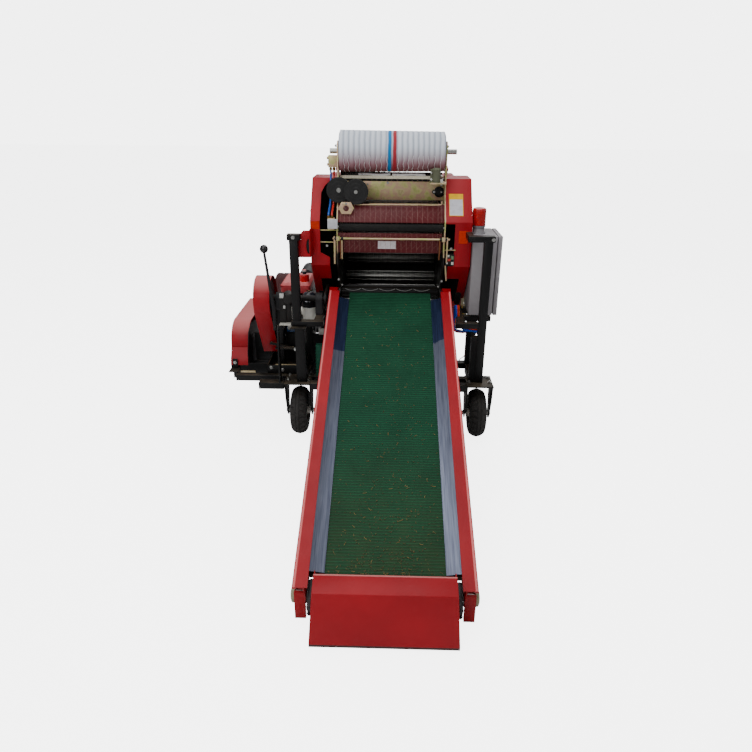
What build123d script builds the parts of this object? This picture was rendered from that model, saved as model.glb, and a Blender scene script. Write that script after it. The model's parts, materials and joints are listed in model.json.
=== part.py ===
"""Mini round baler with a feed conveyor: belt conveyor, bale chamber, net unit and diesel drive.

Millimetres. +Y points from the feed end to the bale gate, +X to the right as seen from the feed
end, +Z up. The origin is on the floor below the middle of the whole machine. Sizes are given from
the chamber's mid-plane (x), the front axle (y) and the floor (z), and three planes carry them.
"""
from build123d import *
import math
import os

os.makedirs("parts", exist_ok=True)

# Fits and gaps
RUNNING = 0.05
SEAT = 0.3
MOVING_GAP = 6

# Bale chamber, side view centred on its axis
NET_WIDTH = 520
SIDE_PLATE = 6
CHAMBER_Y = 440
CHAMBER_Z = 950
ROLLER_R = 30
SHEET = 3
CASE_TOP = 1292
CASE_BOTTOM = 608
CASE_FRONT = 90
CASE_REAR = 782
UPPER_CREASE = 1105
LOWER_CREASE = 889
TOP_FLAT_FRONT = 250
BOTTOM_FLAT_FRONT = 330
COVER_OUT = 395

# Gate, the rear half of the chamber
GATE_PIN_Z = 1320
GATE_PIN_R = 10
GATE_COVER_DEPTH = 60
GATE_EYE_R = 300
SPLIT_Y = 440

# Gate cylinders
CYLINDER_X = 365
CYLINDER_BASE = (660, 560)
BARREL_R = 32
BARREL_LENGTH = 450
ROD_R = 10

# Conveyor, along its belt
BELT_WIDTH = 418
BELT_THICK = 4
DRUM_R = 34
HEAD_Y = 169.5
HEAD_Z = 689
TAIL_Z = 76.17
CONVEYOR_SLOPE = 22.5
CONVEYOR_LENGTH = (HEAD_Z - TAIL_Z) / math.sin(math.radians(CONVEYOR_SLOPE))
TAIL_Y = HEAD_Y - CONVEYOR_LENGTH * math.cos(math.radians(CONVEYOR_SLOPE))
RAIL_IN = 265
RAIL_OUT = 305
RAIL_TOP = 111
RAIL_DEPTH = 118
HEAD_SHAFT_R = 12.5
HOOD_SIDE_GAP = 34
HOOD_FLARE = 12
HOOD_TOP_WIDTH = 2 * (RAIL_IN - HOOD_SIDE_GAP)
HOOD_FOOT_WIDTH = HOOD_TOP_WIDTH + 2 * HOOD_FLARE
HOOD_REACH = 170

# Wheels
WHEEL_X = 468
WHEEL_R = 129
WHEEL_WIDTH = 88
AXLE_R = 8
FORK_GAP = 61
FORK_PLATE = 6
FORK_TOP = 316
CASTER_X = 295
CASTER_Y = 790
CASTER_TRAIL = 45
CASTER_WHEEL_R = 100
CASTER_WHEEL_WIDTH = 45

# Frame
BEAM_REAR = -35
BEAM_BOTTOM = 283
DECK = 318
RAIL_X = 300
TUBE = 50
FRAME_REAR = 830
UPPER_ARM_Z = 606
UPPER_ARM = 27
POST_X = 462
POST = 40
POST_TOP = 1033
TOW_REAR = 905
TOW_HOLE_R = 13

# Net unit
NET_Y = 227
NET_R = 97
NET_CLEARANCE = 30
NET_Z = CASE_TOP + NET_R + NET_CLEARANCE
NET_SHAFT_R = 12.5
NET_SHAFT_END_R = 12
NET_SHAFT_END = 313
FEED_ROLLER_R = 19

# Drive
JACK_Y = 265
JACK_Z = 430
CRANK_Y = 650
CRANK_Z = 490
MAIN_Y = 115
MAIN_Z = 710
ENGINE_LEFT = 605
TALL_GUARD_WIDTH = 82
GUARD_SPACING = 73
LOW_GUARD_WIDTH = 95
FLYWHEEL_R = 215
TALL_IN = ENGINE_LEFT - 5
TALL_GUARD_OUT = TALL_IN + TALL_GUARD_WIDTH
LOW_IN = TALL_GUARD_OUT + GUARD_SPACING
LOW_GUARD_OUT = LOW_IN + LOW_GUARD_WIDTH

# Cabinet
CABINET_LEFT = 400
CABINET_RIGHT = 520
CABINET_FRONT = 60
CABINET_REAR = 300
CABINET_BOTTOM = 650
CABINET_TOP = 1045
DOOR_DEPTH = 22

# The hood's foot is the front of the machine and the tow plate its rear
HOOD_FOOT_Y = TAIL_Y - HOOD_REACH
HALF_SPAN_X = (CABINET_RIGHT + DOOR_DEPTH - LOW_GUARD_OUT) / 2
HALF_SPAN_Y = (TOW_REAR + HOOD_FOOT_Y) / 2
MID_X = -HALF_SPAN_X
AXLE_Y = -HALF_SPAN_Y

# SIDE draws (y, z) and extrudes to the right, PLAN draws (x, y), FRONT draws (x, z) towards the feed end
SIDE = Plane(origin=(MID_X, AXLE_Y, 0), x_dir=(0, 1, 0), z_dir=(1, 0, 0))
PLAN = Plane(origin=(MID_X, AXLE_Y, 0))
FRONT = Plane(origin=(MID_X, AXLE_Y, 0), x_dir=(1, 0, 0), z_dir=(0, -1, 0))

# Along the belt: local x runs from the head drum down to the feed end, local y up from the belt's axis line
BELT_PLANE = Plane(
    origin=(MID_X, AXLE_Y + HEAD_Y, HEAD_Z),
    x_dir=(0, -math.cos(math.radians(CONVEYOR_SLOPE)), -math.sin(math.radians(CONVEYOR_SLOPE))),
    z_dir=(-1, 0, 0),
)
# Section of the conveyor: local x to the right, local y up from the belt's axis line, extruded downhill
ACROSS = Plane(origin=BELT_PLANE.origin, x_dir=(1, 0, 0), z_dir=BELT_PLANE.x_dir)
BOTH_SIDES = (-1, 1)


def write(piece, label):
    """Label a finished piece and write it under that name."""
    piece.part.label = label
    export_step(piece.part, f"parts/{label}.step")


def outline(plane, points):
    """A closed straight-sided face on a plane."""
    with BuildSketch(plane) as face:
        with BuildLine():
            Polyline(*points, close=True)
        make_face()
    return face.sketch


def bars(table):
    """Add square-edged bars; columns: x from, x to, y from, y to, z from, z to."""
    for x0, x1, y0, y1, z0, z1 in table:
        with Locations((MID_X + (x0 + x1) / 2, AXLE_Y + (y0 + y1) / 2, (z0 + z1) / 2)):
            Box(x1 - x0, y1 - y0, z1 - z0)


def both(table):
    """The same bars on the right and on the left of the mid-plane."""
    return table + [(-x1, -x0, y0, y1, z0, z1) for x0, x1, y0, y1, z0, z1 in table]


def disc(x0, x1, y, z, radius, mode=Mode.ADD):
    """Add or cut a cylinder lying along x."""
    with BuildSketch(SIDE.offset(x0)) as face:
        with Locations((y, z)):
            Circle(radius)
    extrude(face.sketch, amount=x1 - x0, mode=mode)


def on_chamber(angle, radius):
    """Side-view place at an angle, from the rear upwards, around the chamber's axis."""
    turn = math.radians(angle)
    return CHAMBER_Y + radius * math.cos(turn), CHAMBER_Z + radius * math.sin(turn)


def tube_frame(label, table):
    """One node of separate square-edged bars."""
    with BuildPart() as frame:
        bars(table)
    write(frame, label)


def plate(x0, x1, points, mode=Mode.ADD):
    """Add or cut a flat piece whose side view is drawn in (y, z)."""
    extrude(outline(SIDE.offset(x0), points), amount=x1 - x0, mode=mode)


def facet_height(y):
    """Height of the case's lower slope at a distance behind the axle."""
    return LOWER_CREASE - (y - CASE_FRONT) * (LOWER_CREASE - CASE_BOTTOM) / (BOTTOM_FLAT_FRONT - CASE_FRONT)


# Frame: lengthwise rails, with the two upper ones that carry the chamber's legs
SIDE_RAIL_X = 445
CHANNEL_Y = 225
CHANNEL_DEPTH = 32
FORK_REAR = 60
POST_Y = -15
UPPER_RAIL_X = 360
REAR_ARM_Y = 250
LINK_Y = 10
LINK = 40
STAND_RAIL_X = 575
BED_TOP = 358
tube_frame("frame_rails", both([
    (RAIL_X - TUBE / 2, RAIL_X + TUBE / 2, BEAM_REAR, FRAME_REAR, DECK - TUBE, DECK),
    (SIDE_RAIL_X - TUBE / 2, SIDE_RAIL_X + TUBE / 2, FORK_REAR, CHANNEL_Y, DECK - TUBE, DECK),
    (UPPER_RAIL_X - POST / 2, UPPER_RAIL_X + POST / 2, POST_Y + POST / 2, REAR_ARM_Y - POST / 2,
     UPPER_ARM_Z, UPPER_ARM_Z + UPPER_ARM),
]) + [
    (-STAND_RAIL_X - TUBE / 2, -STAND_RAIL_X + TUBE / 2, LINK_Y + LINK, CHANNEL_Y, DECK - CHANNEL_DEPTH, DECK),
    (-600, -560, 310, 840, DECK, BED_TOP), (-500, -460, 310, 840, DECK, BED_TOP),
])

# Frame: crosswise beams; the two wheel forks break the front one
FORK_OUT = FORK_GAP + FORK_PLATE
LEFT_BEAM_END = 665
LEFT_CHANNEL_END = LOW_GUARD_OUT - 46
ENGINE_CHANNEL_END = 605
OUTRIGGER_END = 395
CAP_HEIGHT = 28
FORK_INNER_X = WHEEL_X - FORK_OUT
RAIL_FACE = RAIL_X + TUBE / 2
FOOT_Z = DECK - CHANNEL_DEPTH
CYLINDER_BASE_Y = CYLINDER_BASE[0]
with BuildPart() as frame_beams:
    bars(both([
        (RAIL_FACE, FORK_INNER_X, LINK_Y, LINK_Y + LINK, FOOT_Z, DECK),
        (RAIL_FACE, OUTRIGGER_END, CYLINDER_BASE_Y - TUBE / 2, CYLINDER_BASE_Y + TUBE / 2, FOOT_Z, DECK),
        (UPPER_RAIL_X - POST / 2, SIDE_RAIL_X + TUBE / 2, REAR_ARM_Y - POST / 2, REAR_ARM_Y + POST / 2,
         UPPER_ARM_Z, UPPER_ARM_Z + UPPER_ARM),
    ]) + [
        (-FORK_INNER_X, FORK_INNER_X, BEAM_REAR - TUBE, BEAM_REAR, BEAM_BOTTOM, DECK),
        (-LEFT_BEAM_END, -WHEEL_X - FORK_OUT, BEAM_REAR - TUBE, BEAM_REAR, BEAM_BOTTOM, DECK),
        (-LEFT_CHANNEL_END, -WHEEL_X - FORK_OUT, LINK_Y, LINK_Y + LINK, FOOT_Z, DECK),
        (-LEFT_CHANNEL_END, -RAIL_FACE, CHANNEL_Y, CHANNEL_Y + TUBE, FOOT_Z, DECK),
        (RAIL_FACE, SIDE_RAIL_X + TUBE / 2, CHANNEL_Y, CHANNEL_Y + TUBE, FOOT_Z, DECK),
        (-ENGINE_CHANNEL_END, -RAIL_FACE, 500, 500 + LINK, FOOT_Z, DECK),
        (-ENGINE_CHANNEL_END, -RAIL_FACE, 790, 790 + LINK, FOOT_Z, DECK),
        (-RAIL_X + TUBE / 2, RAIL_X - TUBE / 2, CHANNEL_Y, CHANNEL_Y + TUBE, DECK - TUBE, DECK),
        (-RAIL_X + TUBE / 2, RAIL_X - TUBE / 2, FRAME_REAR - TUBE, FRAME_REAR, DECK - TUBE, DECK),
        (-POST_X - 28, -UPPER_RAIL_X + 30, POST_Y - POST / 2, POST_Y + POST / 2,
         UPPER_ARM_Z, UPPER_ARM_Z + UPPER_ARM),
        (UPPER_RAIL_X - 30, POST_X - POST / 2, POST_Y - POST / 2, POST_Y + POST / 2,
         UPPER_ARM_Z, UPPER_ARM_Z + UPPER_ARM),
        (-POST_X - 30, -POST_X + 32, POST_Y - POST / 2, POST_Y + POST / 2, POST_TOP, POST_TOP + CAP_HEIGHT),
        (UPPER_RAIL_X + 5, POST_X + 30, POST_Y - POST / 2, POST_Y + POST / 2, POST_TOP, POST_TOP + CAP_HEIGHT),
        (UPPER_RAIL_X + 5, COVER_OUT, POST_Y + POST / 2, CASE_FRONT, POST_TOP, POST_TOP + CAP_HEIGHT),
        (UPPER_RAIL_X + POST / 2, CABINET_RIGHT, 90, 120, UPPER_ARM_Z, UPPER_ARM_Z + UPPER_ARM),
        (420, 500, 90, 120, UPPER_ARM_Z + UPPER_ARM, CABINET_BOTTOM),
        (420, 460, 240, 270, UPPER_ARM_Z + UPPER_ARM, CABINET_BOTTOM),
    ])
write(frame_beams, "frame_beams")

# Frame: everything that stands on the deck, with the clevis posts of the gate cylinders
LOW_POST_X = 445
LOW_POST_TOP = 600
EAR = 6
EAR_GAP = 18
EAR_R = 20
PIN_R = 8
LEG_X = 360
LEG_FRONT = 235
LEG_REAR = 265
with BuildPart() as frame_posts:
    bars([
        (-LOW_POST_X - TUBE / 2, -LOW_POST_X + TUBE / 2, -60, -10, FORK_TOP, LOW_POST_TOP),
        (-POST_X - POST / 2, -POST_X + POST / 2, POST_Y - POST / 2, POST_Y + POST / 2,
         UPPER_ARM_Z + UPPER_ARM, POST_TOP),
        (POST_X - POST / 2, POST_X + POST / 2, POST_Y - POST / 2, POST_Y + POST / 2, FORK_TOP, POST_TOP),
        (POST_X - POST / 2 - 30, POST_X - POST / 2, POST_Y - 15, POST_Y + 15, FORK_TOP, 560),
    ] + both([
        (SIDE_RAIL_X - TUBE / 2, SIDE_RAIL_X + TUBE / 2, CHANNEL_Y, CHANNEL_Y + TUBE, DECK, UPPER_ARM_Z),
        (RAIL_X - TUBE / 2, RAIL_X + TUBE / 2, 345, 395, DECK, CASE_BOTTOM),
        (CYLINDER_X - TUBE / 2, CYLINDER_X + TUBE / 2, CYLINDER_BASE_Y - EAR_R, CYLINDER_BASE_Y + EAR_R,
         DECK, CYLINDER_BASE[1] - EAR_R - 10),
    ]))
    for side in BOTH_SIDES:
        leg_x = side * LEG_X - 15
        plate(leg_x, leg_x + 30, [
            (LEG_FRONT, UPPER_ARM_Z + UPPER_ARM), (LEG_REAR, UPPER_ARM_Z + UPPER_ARM),
            (LEG_REAR, facet_height(LEG_REAR)), (LEG_FRONT, facet_height(LEG_FRONT)),
        ])
        for ear_x in (side * CYLINDER_X - EAR_GAP - EAR, side * CYLINDER_X + EAR_GAP):
            bars([(ear_x, ear_x + EAR, CYLINDER_BASE_Y - EAR_R, CYLINDER_BASE_Y + EAR_R,
                   CYLINDER_BASE[1] - EAR_R - 10, CYLINDER_BASE[1])])
            disc(ear_x, ear_x + EAR, *CYLINDER_BASE, EAR_R)
            disc(ear_x, ear_x + EAR, *CYLINDER_BASE, PIN_R + SEAT, Mode.SUBTRACT)
write(frame_posts, "frame_posts")

# Plates on the frame: wheel forks, left post's seat, caster tops with kingpins, tow plate, conveyor lugs and
# the clutch lever's bracket
CASTER_PLATE_TOP = DECK - TUBE
CASTER_PLATE = 6
CROWN_TOP = 256
KINGPIN_R = 10
TOW_PLATE = 12
TOW_Y = 875
TOW_BOTTOM = 287
FORK_FRONT = -90
LUG_X = 310
LUG = 8
LEVER_Y = -45
LEVER_Z = 600
LEVER_PIN_R = 6
with BuildPart() as mounting_plates:
    bars(both([
        (WHEEL_X - FORK_OUT, WHEEL_X + FORK_OUT, FORK_FRONT, FORK_REAR, FORK_TOP - FORK_PLATE, FORK_TOP),
        (CASTER_X - 50, CASTER_X + 50, CASTER_Y - 50, FRAME_REAR, CASTER_PLATE_TOP - CASTER_PLATE, CASTER_PLATE_TOP),
    ]) + [
        (-POST_X - 30, -415, -65, 10, LOW_POST_TOP, UPPER_ARM_Z),
        (-40, 40, FRAME_REAR, TOW_REAR, TOW_BOTTOM, TOW_BOTTOM + TOW_PLATE),
    ])
    for side in BOTH_SIDES:
        with BuildSketch(PLAN.offset(CROWN_TOP - 38)) as kingpin:
            with Locations((side * CASTER_X, CASTER_Y)):
                Circle(KINGPIN_R)
        extrude(amount=CASTER_PLATE_TOP - CASTER_PLATE - CROWN_TOP + 38)
    with BuildSketch(PLAN.offset(TOW_BOTTOM)) as tow_hole:
        with Locations((0, TOW_Y)):
            Circle(TOW_HOLE_R)
    extrude(amount=TOW_PLATE, mode=Mode.SUBTRACT)
    for side in BOTH_SIDES:
        for x in (side * WHEEL_X - FORK_OUT, side * WHEEL_X + FORK_GAP):
            plate(x, x + FORK_PLATE, [
                (-75, FORK_TOP - FORK_PLATE), (50, FORK_TOP - FORK_PLATE), (46, 215), (20, 112), (0, 100), (-20, 112),
                (-60, 215),
            ])
            disc(x, x + FORK_PLATE, 0, WHEEL_R, AXLE_R + SEAT, Mode.SUBTRACT)
    bars(both([
        (LUG_X, LUG_X + LUG, 145, 195, UPPER_ARM_Z, 714),
        (LUG_X + LUG, UPPER_RAIL_X - POST / 2, 145, 195, UPPER_ARM_Z, UPPER_ARM_Z + 12),
    ]))
    for x in (-LUG_X - LUG, LUG_X):
        disc(x, x + LUG, HEAD_Y, HEAD_Z, HEAD_SHAFT_R + RUNNING, Mode.SUBTRACT)
    plate(-559, -551, [(-85, DECK), (BEAM_REAR, DECK), (BEAM_REAR, LEVER_Z), (-39, 614), (-51, 614), (-62, LEVER_Z)])
    disc(-559, -551, LEVER_Y, LEVER_Z, LEVER_PIN_R + RUNNING, Mode.SUBTRACT)
write(mounting_plates, "mounting_plates")

# Axle bolts of the front wheels, the gate's hinge pin and the pins of the cylinders' feet
NUT = 6
NUT_R = 13
HINGE_X = 282
with BuildPart() as pins:
    for side in BOTH_SIDES:
        centre = side * WHEEL_X
        disc(centre - FORK_OUT, centre + FORK_OUT, 0, WHEEL_R, AXLE_R)
        for x in (centre - FORK_OUT - NUT, centre + FORK_OUT):
            with BuildSketch(SIDE.offset(x)) as nut:
                with Locations((0, WHEEL_R)):
                    RegularPolygon(NUT_R, 6)
            extrude(amount=NUT)
        disc(side * CYLINDER_X - EAR_GAP - EAR, side * CYLINDER_X + EAR_GAP + EAR, *CYLINDER_BASE, PIN_R)
        disc(side * HINGE_X - 12, side * HINGE_X + 12, SPLIT_Y, GATE_PIN_Z, GATE_PIN_R)
write(pins, "pins")

# Front wheels: a pneumatic tyre on a pressed rim with a hub tube
RIM_R = 52
HUB_R = 20
HUB_HALF = 55

for side, name in ((-1, "left"), (1, "right")):
    centre = side * WHEEL_X
    axle = Axis((MID_X, AXLE_Y, WHEEL_R), (1, 0, 0))
    with BuildPart() as tyre:
        half = WHEEL_WIDTH / 2
        with BuildSketch(FRONT) as section:
            with BuildLine():
                Line((centre - half + 16, WHEEL_R + RIM_R), (centre + half - 16, WHEEL_R + RIM_R))
                Line((centre + half - 16, WHEEL_R + RIM_R), (centre + half - 4, WHEEL_R + 66))
                ThreePointArc((centre + half - 4, WHEEL_R + 66), (centre + half, WHEEL_R + 88),
                              (centre + half - 6, WHEEL_R + 110))
                ThreePointArc((centre + half - 6, WHEEL_R + 110), (centre, WHEEL_R + WHEEL_R),
                              (centre - half + 6, WHEEL_R + 110))
                ThreePointArc((centre - half + 6, WHEEL_R + 110), (centre - half, WHEEL_R + 88),
                              (centre - half + 4, WHEEL_R + 66))
                Line((centre - half + 4, WHEEL_R + 66), (centre - half + 16, WHEEL_R + RIM_R))
            make_face()
        revolve(axis=axle)
    write(tyre, f"wheel_{name}_tyre")
    with BuildPart() as rim:
        with BuildSketch(FRONT) as section:
            with BuildLine():
                Polyline(
                    (centre - HUB_HALF, WHEEL_R + AXLE_R + RUNNING), (centre + HUB_HALF, WHEEL_R + AXLE_R + RUNNING),
                    (centre + HUB_HALF, WHEEL_R + HUB_R), (centre + 6, WHEEL_R + HUB_R),
                    (centre + 6, WHEEL_R + RIM_R - 10), (centre + 30, WHEEL_R + RIM_R - 4),
                    (centre + 30, WHEEL_R + RIM_R), (centre - 30, WHEEL_R + RIM_R), (centre - 30, WHEEL_R + RIM_R - 4),
                    (centre - 6, WHEEL_R + RIM_R - 10), (centre - 6, WHEEL_R + HUB_R),
                    (centre - HUB_HALF, WHEEL_R + HUB_R), close=True)
            make_face()
        revolve(axis=axle)
    write(rim, f"wheel_{name}_rim")

# Rear casters: a trailing fork below the kingpin and a solid wheel
CROWN_BOTTOM = 212
CROWN_PLATE = 6
CASTER_LEG_IN = 27
CASTER_AXLE_R = 6
CASTER_WHEEL_Y = CASTER_Y - CASTER_TRAIL
for side, name in ((-1, "left"), (1, "right")):
    centre = side * CASTER_X
    with BuildPart() as caster_fork:
        bars([(centre - CASTER_LEG_IN - 6, centre + CASTER_LEG_IN + 6, 720, 822, CROWN_BOTTOM,
               CROWN_BOTTOM + CROWN_PLATE)])
        with BuildSketch(PLAN.offset(CROWN_BOTTOM)) as housing:
            with Locations((centre, CASTER_Y)):
                Circle(28)
        extrude(amount=CROWN_TOP - CROWN_BOTTOM)
        for x in (centre - CASTER_LEG_IN - 6, centre + CASTER_LEG_IN):
            plate(x, x + 6, [(720, CROWN_BOTTOM), (822, CROWN_BOTTOM), (768, 88), (722, 88)])
        disc(centre - CASTER_LEG_IN - 12, centre + CASTER_LEG_IN + 12, CASTER_WHEEL_Y, CASTER_WHEEL_R, CASTER_AXLE_R)
        with BuildSketch(PLAN.offset(CROWN_BOTTOM)) as bore:
            with Locations((centre, CASTER_Y)):
                Circle(KINGPIN_R + RUNNING)
        extrude(amount=CROWN_TOP - CROWN_BOTTOM, mode=Mode.SUBTRACT)
    write(caster_fork, f"caster_{name}_fork")
    with BuildPart() as caster_wheel:
        half = CASTER_WHEEL_WIDTH / 2
        with BuildSketch(FRONT.offset(-CASTER_WHEEL_Y)) as section:
            with BuildLine():
                Polyline(
                    (centre - half, CASTER_WHEEL_R + CASTER_AXLE_R + RUNNING),
                    (centre + half, CASTER_WHEEL_R + CASTER_AXLE_R + RUNNING),
                    (centre + half, CASTER_WHEEL_R + 24), (centre + 12, CASTER_WHEEL_R + 28),
                    (centre + 12, CASTER_WHEEL_R + 66), (centre + half, CASTER_WHEEL_R + 72),
                    (centre + half, CASTER_WHEEL_R + 92), (centre + half - 8, 2 * CASTER_WHEEL_R),
                    (centre - half + 8, 2 * CASTER_WHEEL_R), (centre - half, CASTER_WHEEL_R + 92),
                    (centre - half, CASTER_WHEEL_R + 72), (centre - 12, CASTER_WHEEL_R + 66),
                    (centre - 12, CASTER_WHEEL_R + 28), (centre - half, CASTER_WHEEL_R + 24), close=True)
            make_face()
        revolve(axis=Axis((MID_X, AXLE_Y + CASTER_WHEEL_Y, CASTER_WHEEL_R), (1, 0, 0)))
    write(caster_wheel, f"caster_{name}_wheel")

# Chamber walls with the net roll's brackets, the ears of the gate's hinge and the rotor's bosses
HALF_WIDTH = NET_WIDTH / 2
WALL_OUT = HALF_WIDTH + SIDE_PLATE
FIXED_REAR = SPLIT_Y - MOVING_GAP / 2
GATE_FRONT = SPLIT_Y + MOVING_GAP / 2
ROTOR_Y = 243
ROTOR_Z = 716
ROTOR_R = 34
ROTOR_SHAFT_R = 12
FEED_ROLLER_Y = 108
FEED_ROLLER_Z = 1074
FEED_SHAFT_R = 8
FIXED_OUTLINE = [
    (FIXED_REAR, CASE_TOP), (TOP_FLAT_FRONT, CASE_TOP), (CASE_FRONT, UPPER_CREASE), (CASE_FRONT, LOWER_CREASE),
    (BOTTOM_FLAT_FRONT, CASE_BOTTOM), (FIXED_REAR, CASE_BOTTOM),
]
BRACKET_OUTLINE = [
    (NET_Y - 37, 1215), (NET_Y - 37, NET_Z + 21), (NET_Y - 22, NET_Z + 47), (NET_Y + 23, NET_Z + 47),
    (NET_Y + 38, NET_Z + 21), (NET_Y + 38, 1280),
]
with BuildPart() as chamber_sides:
    for x in (-WALL_OUT, HALF_WIDTH):
        plate(x, x + SIDE_PLATE, FIXED_OUTLINE)
        plate(x, x + SIDE_PLATE, BRACKET_OUTLINE)
        disc(x, x + SIDE_PLATE, ROTOR_Y, ROTOR_Z, ROTOR_R + 6)
        disc(x, x + SIDE_PLATE, NET_Y, NET_Z, NET_SHAFT_R + RUNNING, Mode.SUBTRACT)
        disc(x, x + SIDE_PLATE, ROTOR_Y, ROTOR_Z, ROTOR_SHAFT_R + SEAT, Mode.SUBTRACT)
        disc(x, x + SIDE_PLATE, FEED_ROLLER_Y, FEED_ROLLER_Z, FEED_SHAFT_R + RUNNING, Mode.SUBTRACT)
write(chamber_sides, "chamber_sides")

# Side covers: hollow sheet boxes with a window in each front, plus the fixed half of the gate's hinge
HINGE_EAR_R = 22
LEFT_WINDOW = [
    (-WALL_OUT, 642), (-355, 642), (-355, 804), (-301, 804), (-301, 929), (-347, 953), (-347, 1227),
    (-330, 1258), (-303, 1283), (-WALL_OUT, 1283),
]
RIGHT_WINDOW = [
    (WALL_OUT, 655), (352, 655), (352, 811), (285, 811), (285, 890), (312, 890), (312, 1097), (WALL_OUT, 1097),
]


def inner_outline(points, amount):
    """Corner points of an outline inset evenly, kept in the same turning order."""
    moved = []
    count = len(points)
    for index in range(count):
        before, here, after = points[index - 1], points[index], points[(index + 1) % count]
        first = (here[0] - before[0], here[1] - before[1])
        second = (after[0] - here[0], after[1] - here[1])
        first_length = math.hypot(*first)
        second_length = math.hypot(*second)
        n1 = (-first[1] / first_length, first[0] / first_length)
        n2 = (-second[1] / second_length, second[0] / second_length)
        share = amount / (1 + n1[0] * n2[0] + n1[1] * n2[1])
        moved.append((here[0] + (n1[0] + n2[0]) * share, here[1] + (n1[1] + n2[1]) * share))
    return moved


with BuildPart() as side_covers:
    for side, window in ((-1, LEFT_WINDOW), (1, RIGHT_WINDOW)):
        near, far = sorted((side * WALL_OUT, side * COVER_OUT))
        hollow_near, hollow_far = sorted((side * WALL_OUT, side * (COVER_OUT - SHEET)))
        plate(near, far, FIXED_OUTLINE)
        plate(hollow_near, hollow_far, inner_outline(FIXED_OUTLINE, SHEET), Mode.SUBTRACT)
        extrude(outline(FRONT.offset(-BOTTOM_FLAT_FRONT - 10), window), amount=260, mode=Mode.SUBTRACT)
        ear_x = side * (HINGE_X - 4)
        plate(ear_x - 3, ear_x + 3, [
            (400, CASE_TOP), (FIXED_REAR - 3, CASE_TOP), (SPLIT_Y + 16, GATE_PIN_Z - 15), (SPLIT_Y, GATE_PIN_Z + 20),
            (SPLIT_Y - 21, GATE_PIN_Z + 6),
        ])
        disc(ear_x - 3, ear_x + 3, SPLIT_Y, GATE_PIN_Z, HINGE_EAR_R)
        disc(ear_x - 3, ear_x + 3, SPLIT_Y, GATE_PIN_Z, GATE_PIN_R + SEAT, Mode.SUBTRACT)
write(side_covers, "side_covers")

# Sheets between the walls: top, floor and the two panels across the front
PANEL_RIGHT = 250
with BuildPart() as chamber_panels:
    bars([
        (-HALF_WIDTH, HALF_WIDTH, TOP_FLAT_FRONT, FIXED_REAR, CASE_TOP - SHEET, CASE_TOP),
        (-HALF_WIDTH, HALF_WIDTH, BOTTOM_FLAT_FRONT, FIXED_REAR, CASE_BOTTOM, CASE_BOTTOM + SHEET),
        (-HALF_WIDTH, PANEL_RIGHT, 95, 98, 953, 1049),
    ])
    plate(-HALF_WIDTH, HALF_WIDTH, [(100, 1098), (150, 1180), (148, 1182), (97, 1100)])
write(chamber_panels, "chamber_panels")

# Bale rollers around the chamber's axis, held in the walls
ROLLER_PITCH = 305
ROLLER_HALF = 257
ROLLER_RIBS = 8
RIB = 5
STUB_R = 10
FIXED_ROLLERS = (105, 142, 172.5, 250)
GATE_ROLLERS = (285, 307.5, 330, 352.5, 15, 37.5, 60, 82.5)
for label, angles in (("chamber_rollers", FIXED_ROLLERS), ("gate_rollers", GATE_ROLLERS)):
    with BuildPart() as rollers:
        for angle in angles:
            centre = on_chamber(angle, ROLLER_PITCH)
            with BuildSketch(SIDE.offset(-ROLLER_HALF)) as ribbed:
                with Locations(centre):
                    Circle(ROLLER_R - RIB)
                    with PolarLocations(0, ROLLER_RIBS):
                        Rectangle(ROLLER_R, RIB, align=(Align.MIN, Align.CENTER))
            extrude(amount=2 * ROLLER_HALF)
            disc(-HALF_WIDTH, HALF_WIDTH, *centre, STUB_R)
    write(rollers, label)

# Feed rotor in the throat: a core with five flights and a driven end on the left
FLIGHTS = 5
CORE_R = 26
FLIGHT = 5
ROTOR_HALF = HALF_WIDTH - 5
SPROCKET_X = -330
with BuildPart() as feed_rotor:
    disc(-ROTOR_HALF, ROTOR_HALF, ROTOR_Y, ROTOR_Z, CORE_R)
    disc(SPROCKET_X - 14, WALL_OUT, ROTOR_Y, ROTOR_Z, ROTOR_SHAFT_R)
    with BuildSketch(SIDE.offset(-ROTOR_HALF)) as flights:
        with Locations((ROTOR_Y, ROTOR_Z)):
            with PolarLocations(0, FLIGHTS):
                Rectangle(ROTOR_R, FLIGHT, align=(Align.MIN, Align.CENTER))
    extrude(amount=2 * ROTOR_HALF)
write(feed_rotor, "feed_rotor")

# Zinc-plated pieces of the net feed: back plate, bar, shelf, hexagonal plate, cross rod with its hanging arms
ROD_Y = 80
ROD_Z = 1024
with BuildPart() as net_feed_plates:
    bars([
        (-HALF_WIDTH, HALF_WIDTH, 255, 258, 1187, 1277),
        (-HALF_WIDTH, HALF_WIDTH, 236, 244, 1297, 1304),
        (184, HALF_WIDTH, 104, 200, 1280, 1286),
        (-279, -273, 72, 88, 900, 1034),
        (273, 279, 72, 88, 912, 1034),
    ] + both([(250, WALL_OUT, 72, CASE_FRONT, 1014, 1034), (236, 242, 77, 83, 925, ROD_Z)]))
    disc(-284, 288, ROD_Y, ROD_Z, 5)
    disc(-110, HALF_WIDTH, 180, 1175, 5)
    extrude(outline(FRONT.offset(-111), [
        (-256, 1165), (-241, 1193), (-196, 1193), (-181, 1165), (-196, 1137), (-241, 1137),
    ]), amount=3)
    bars([(-HALF_WIDTH, -250, 111, 131, 1155, 1165)])
    with BuildSketch(FRONT.offset(-111)) as hex_hole:
        with Locations((-219, 1163)):
            Circle(14)
    extrude(amount=3, mode=Mode.SUBTRACT)
write(net_feed_plates, "net_feed_plates")

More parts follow.
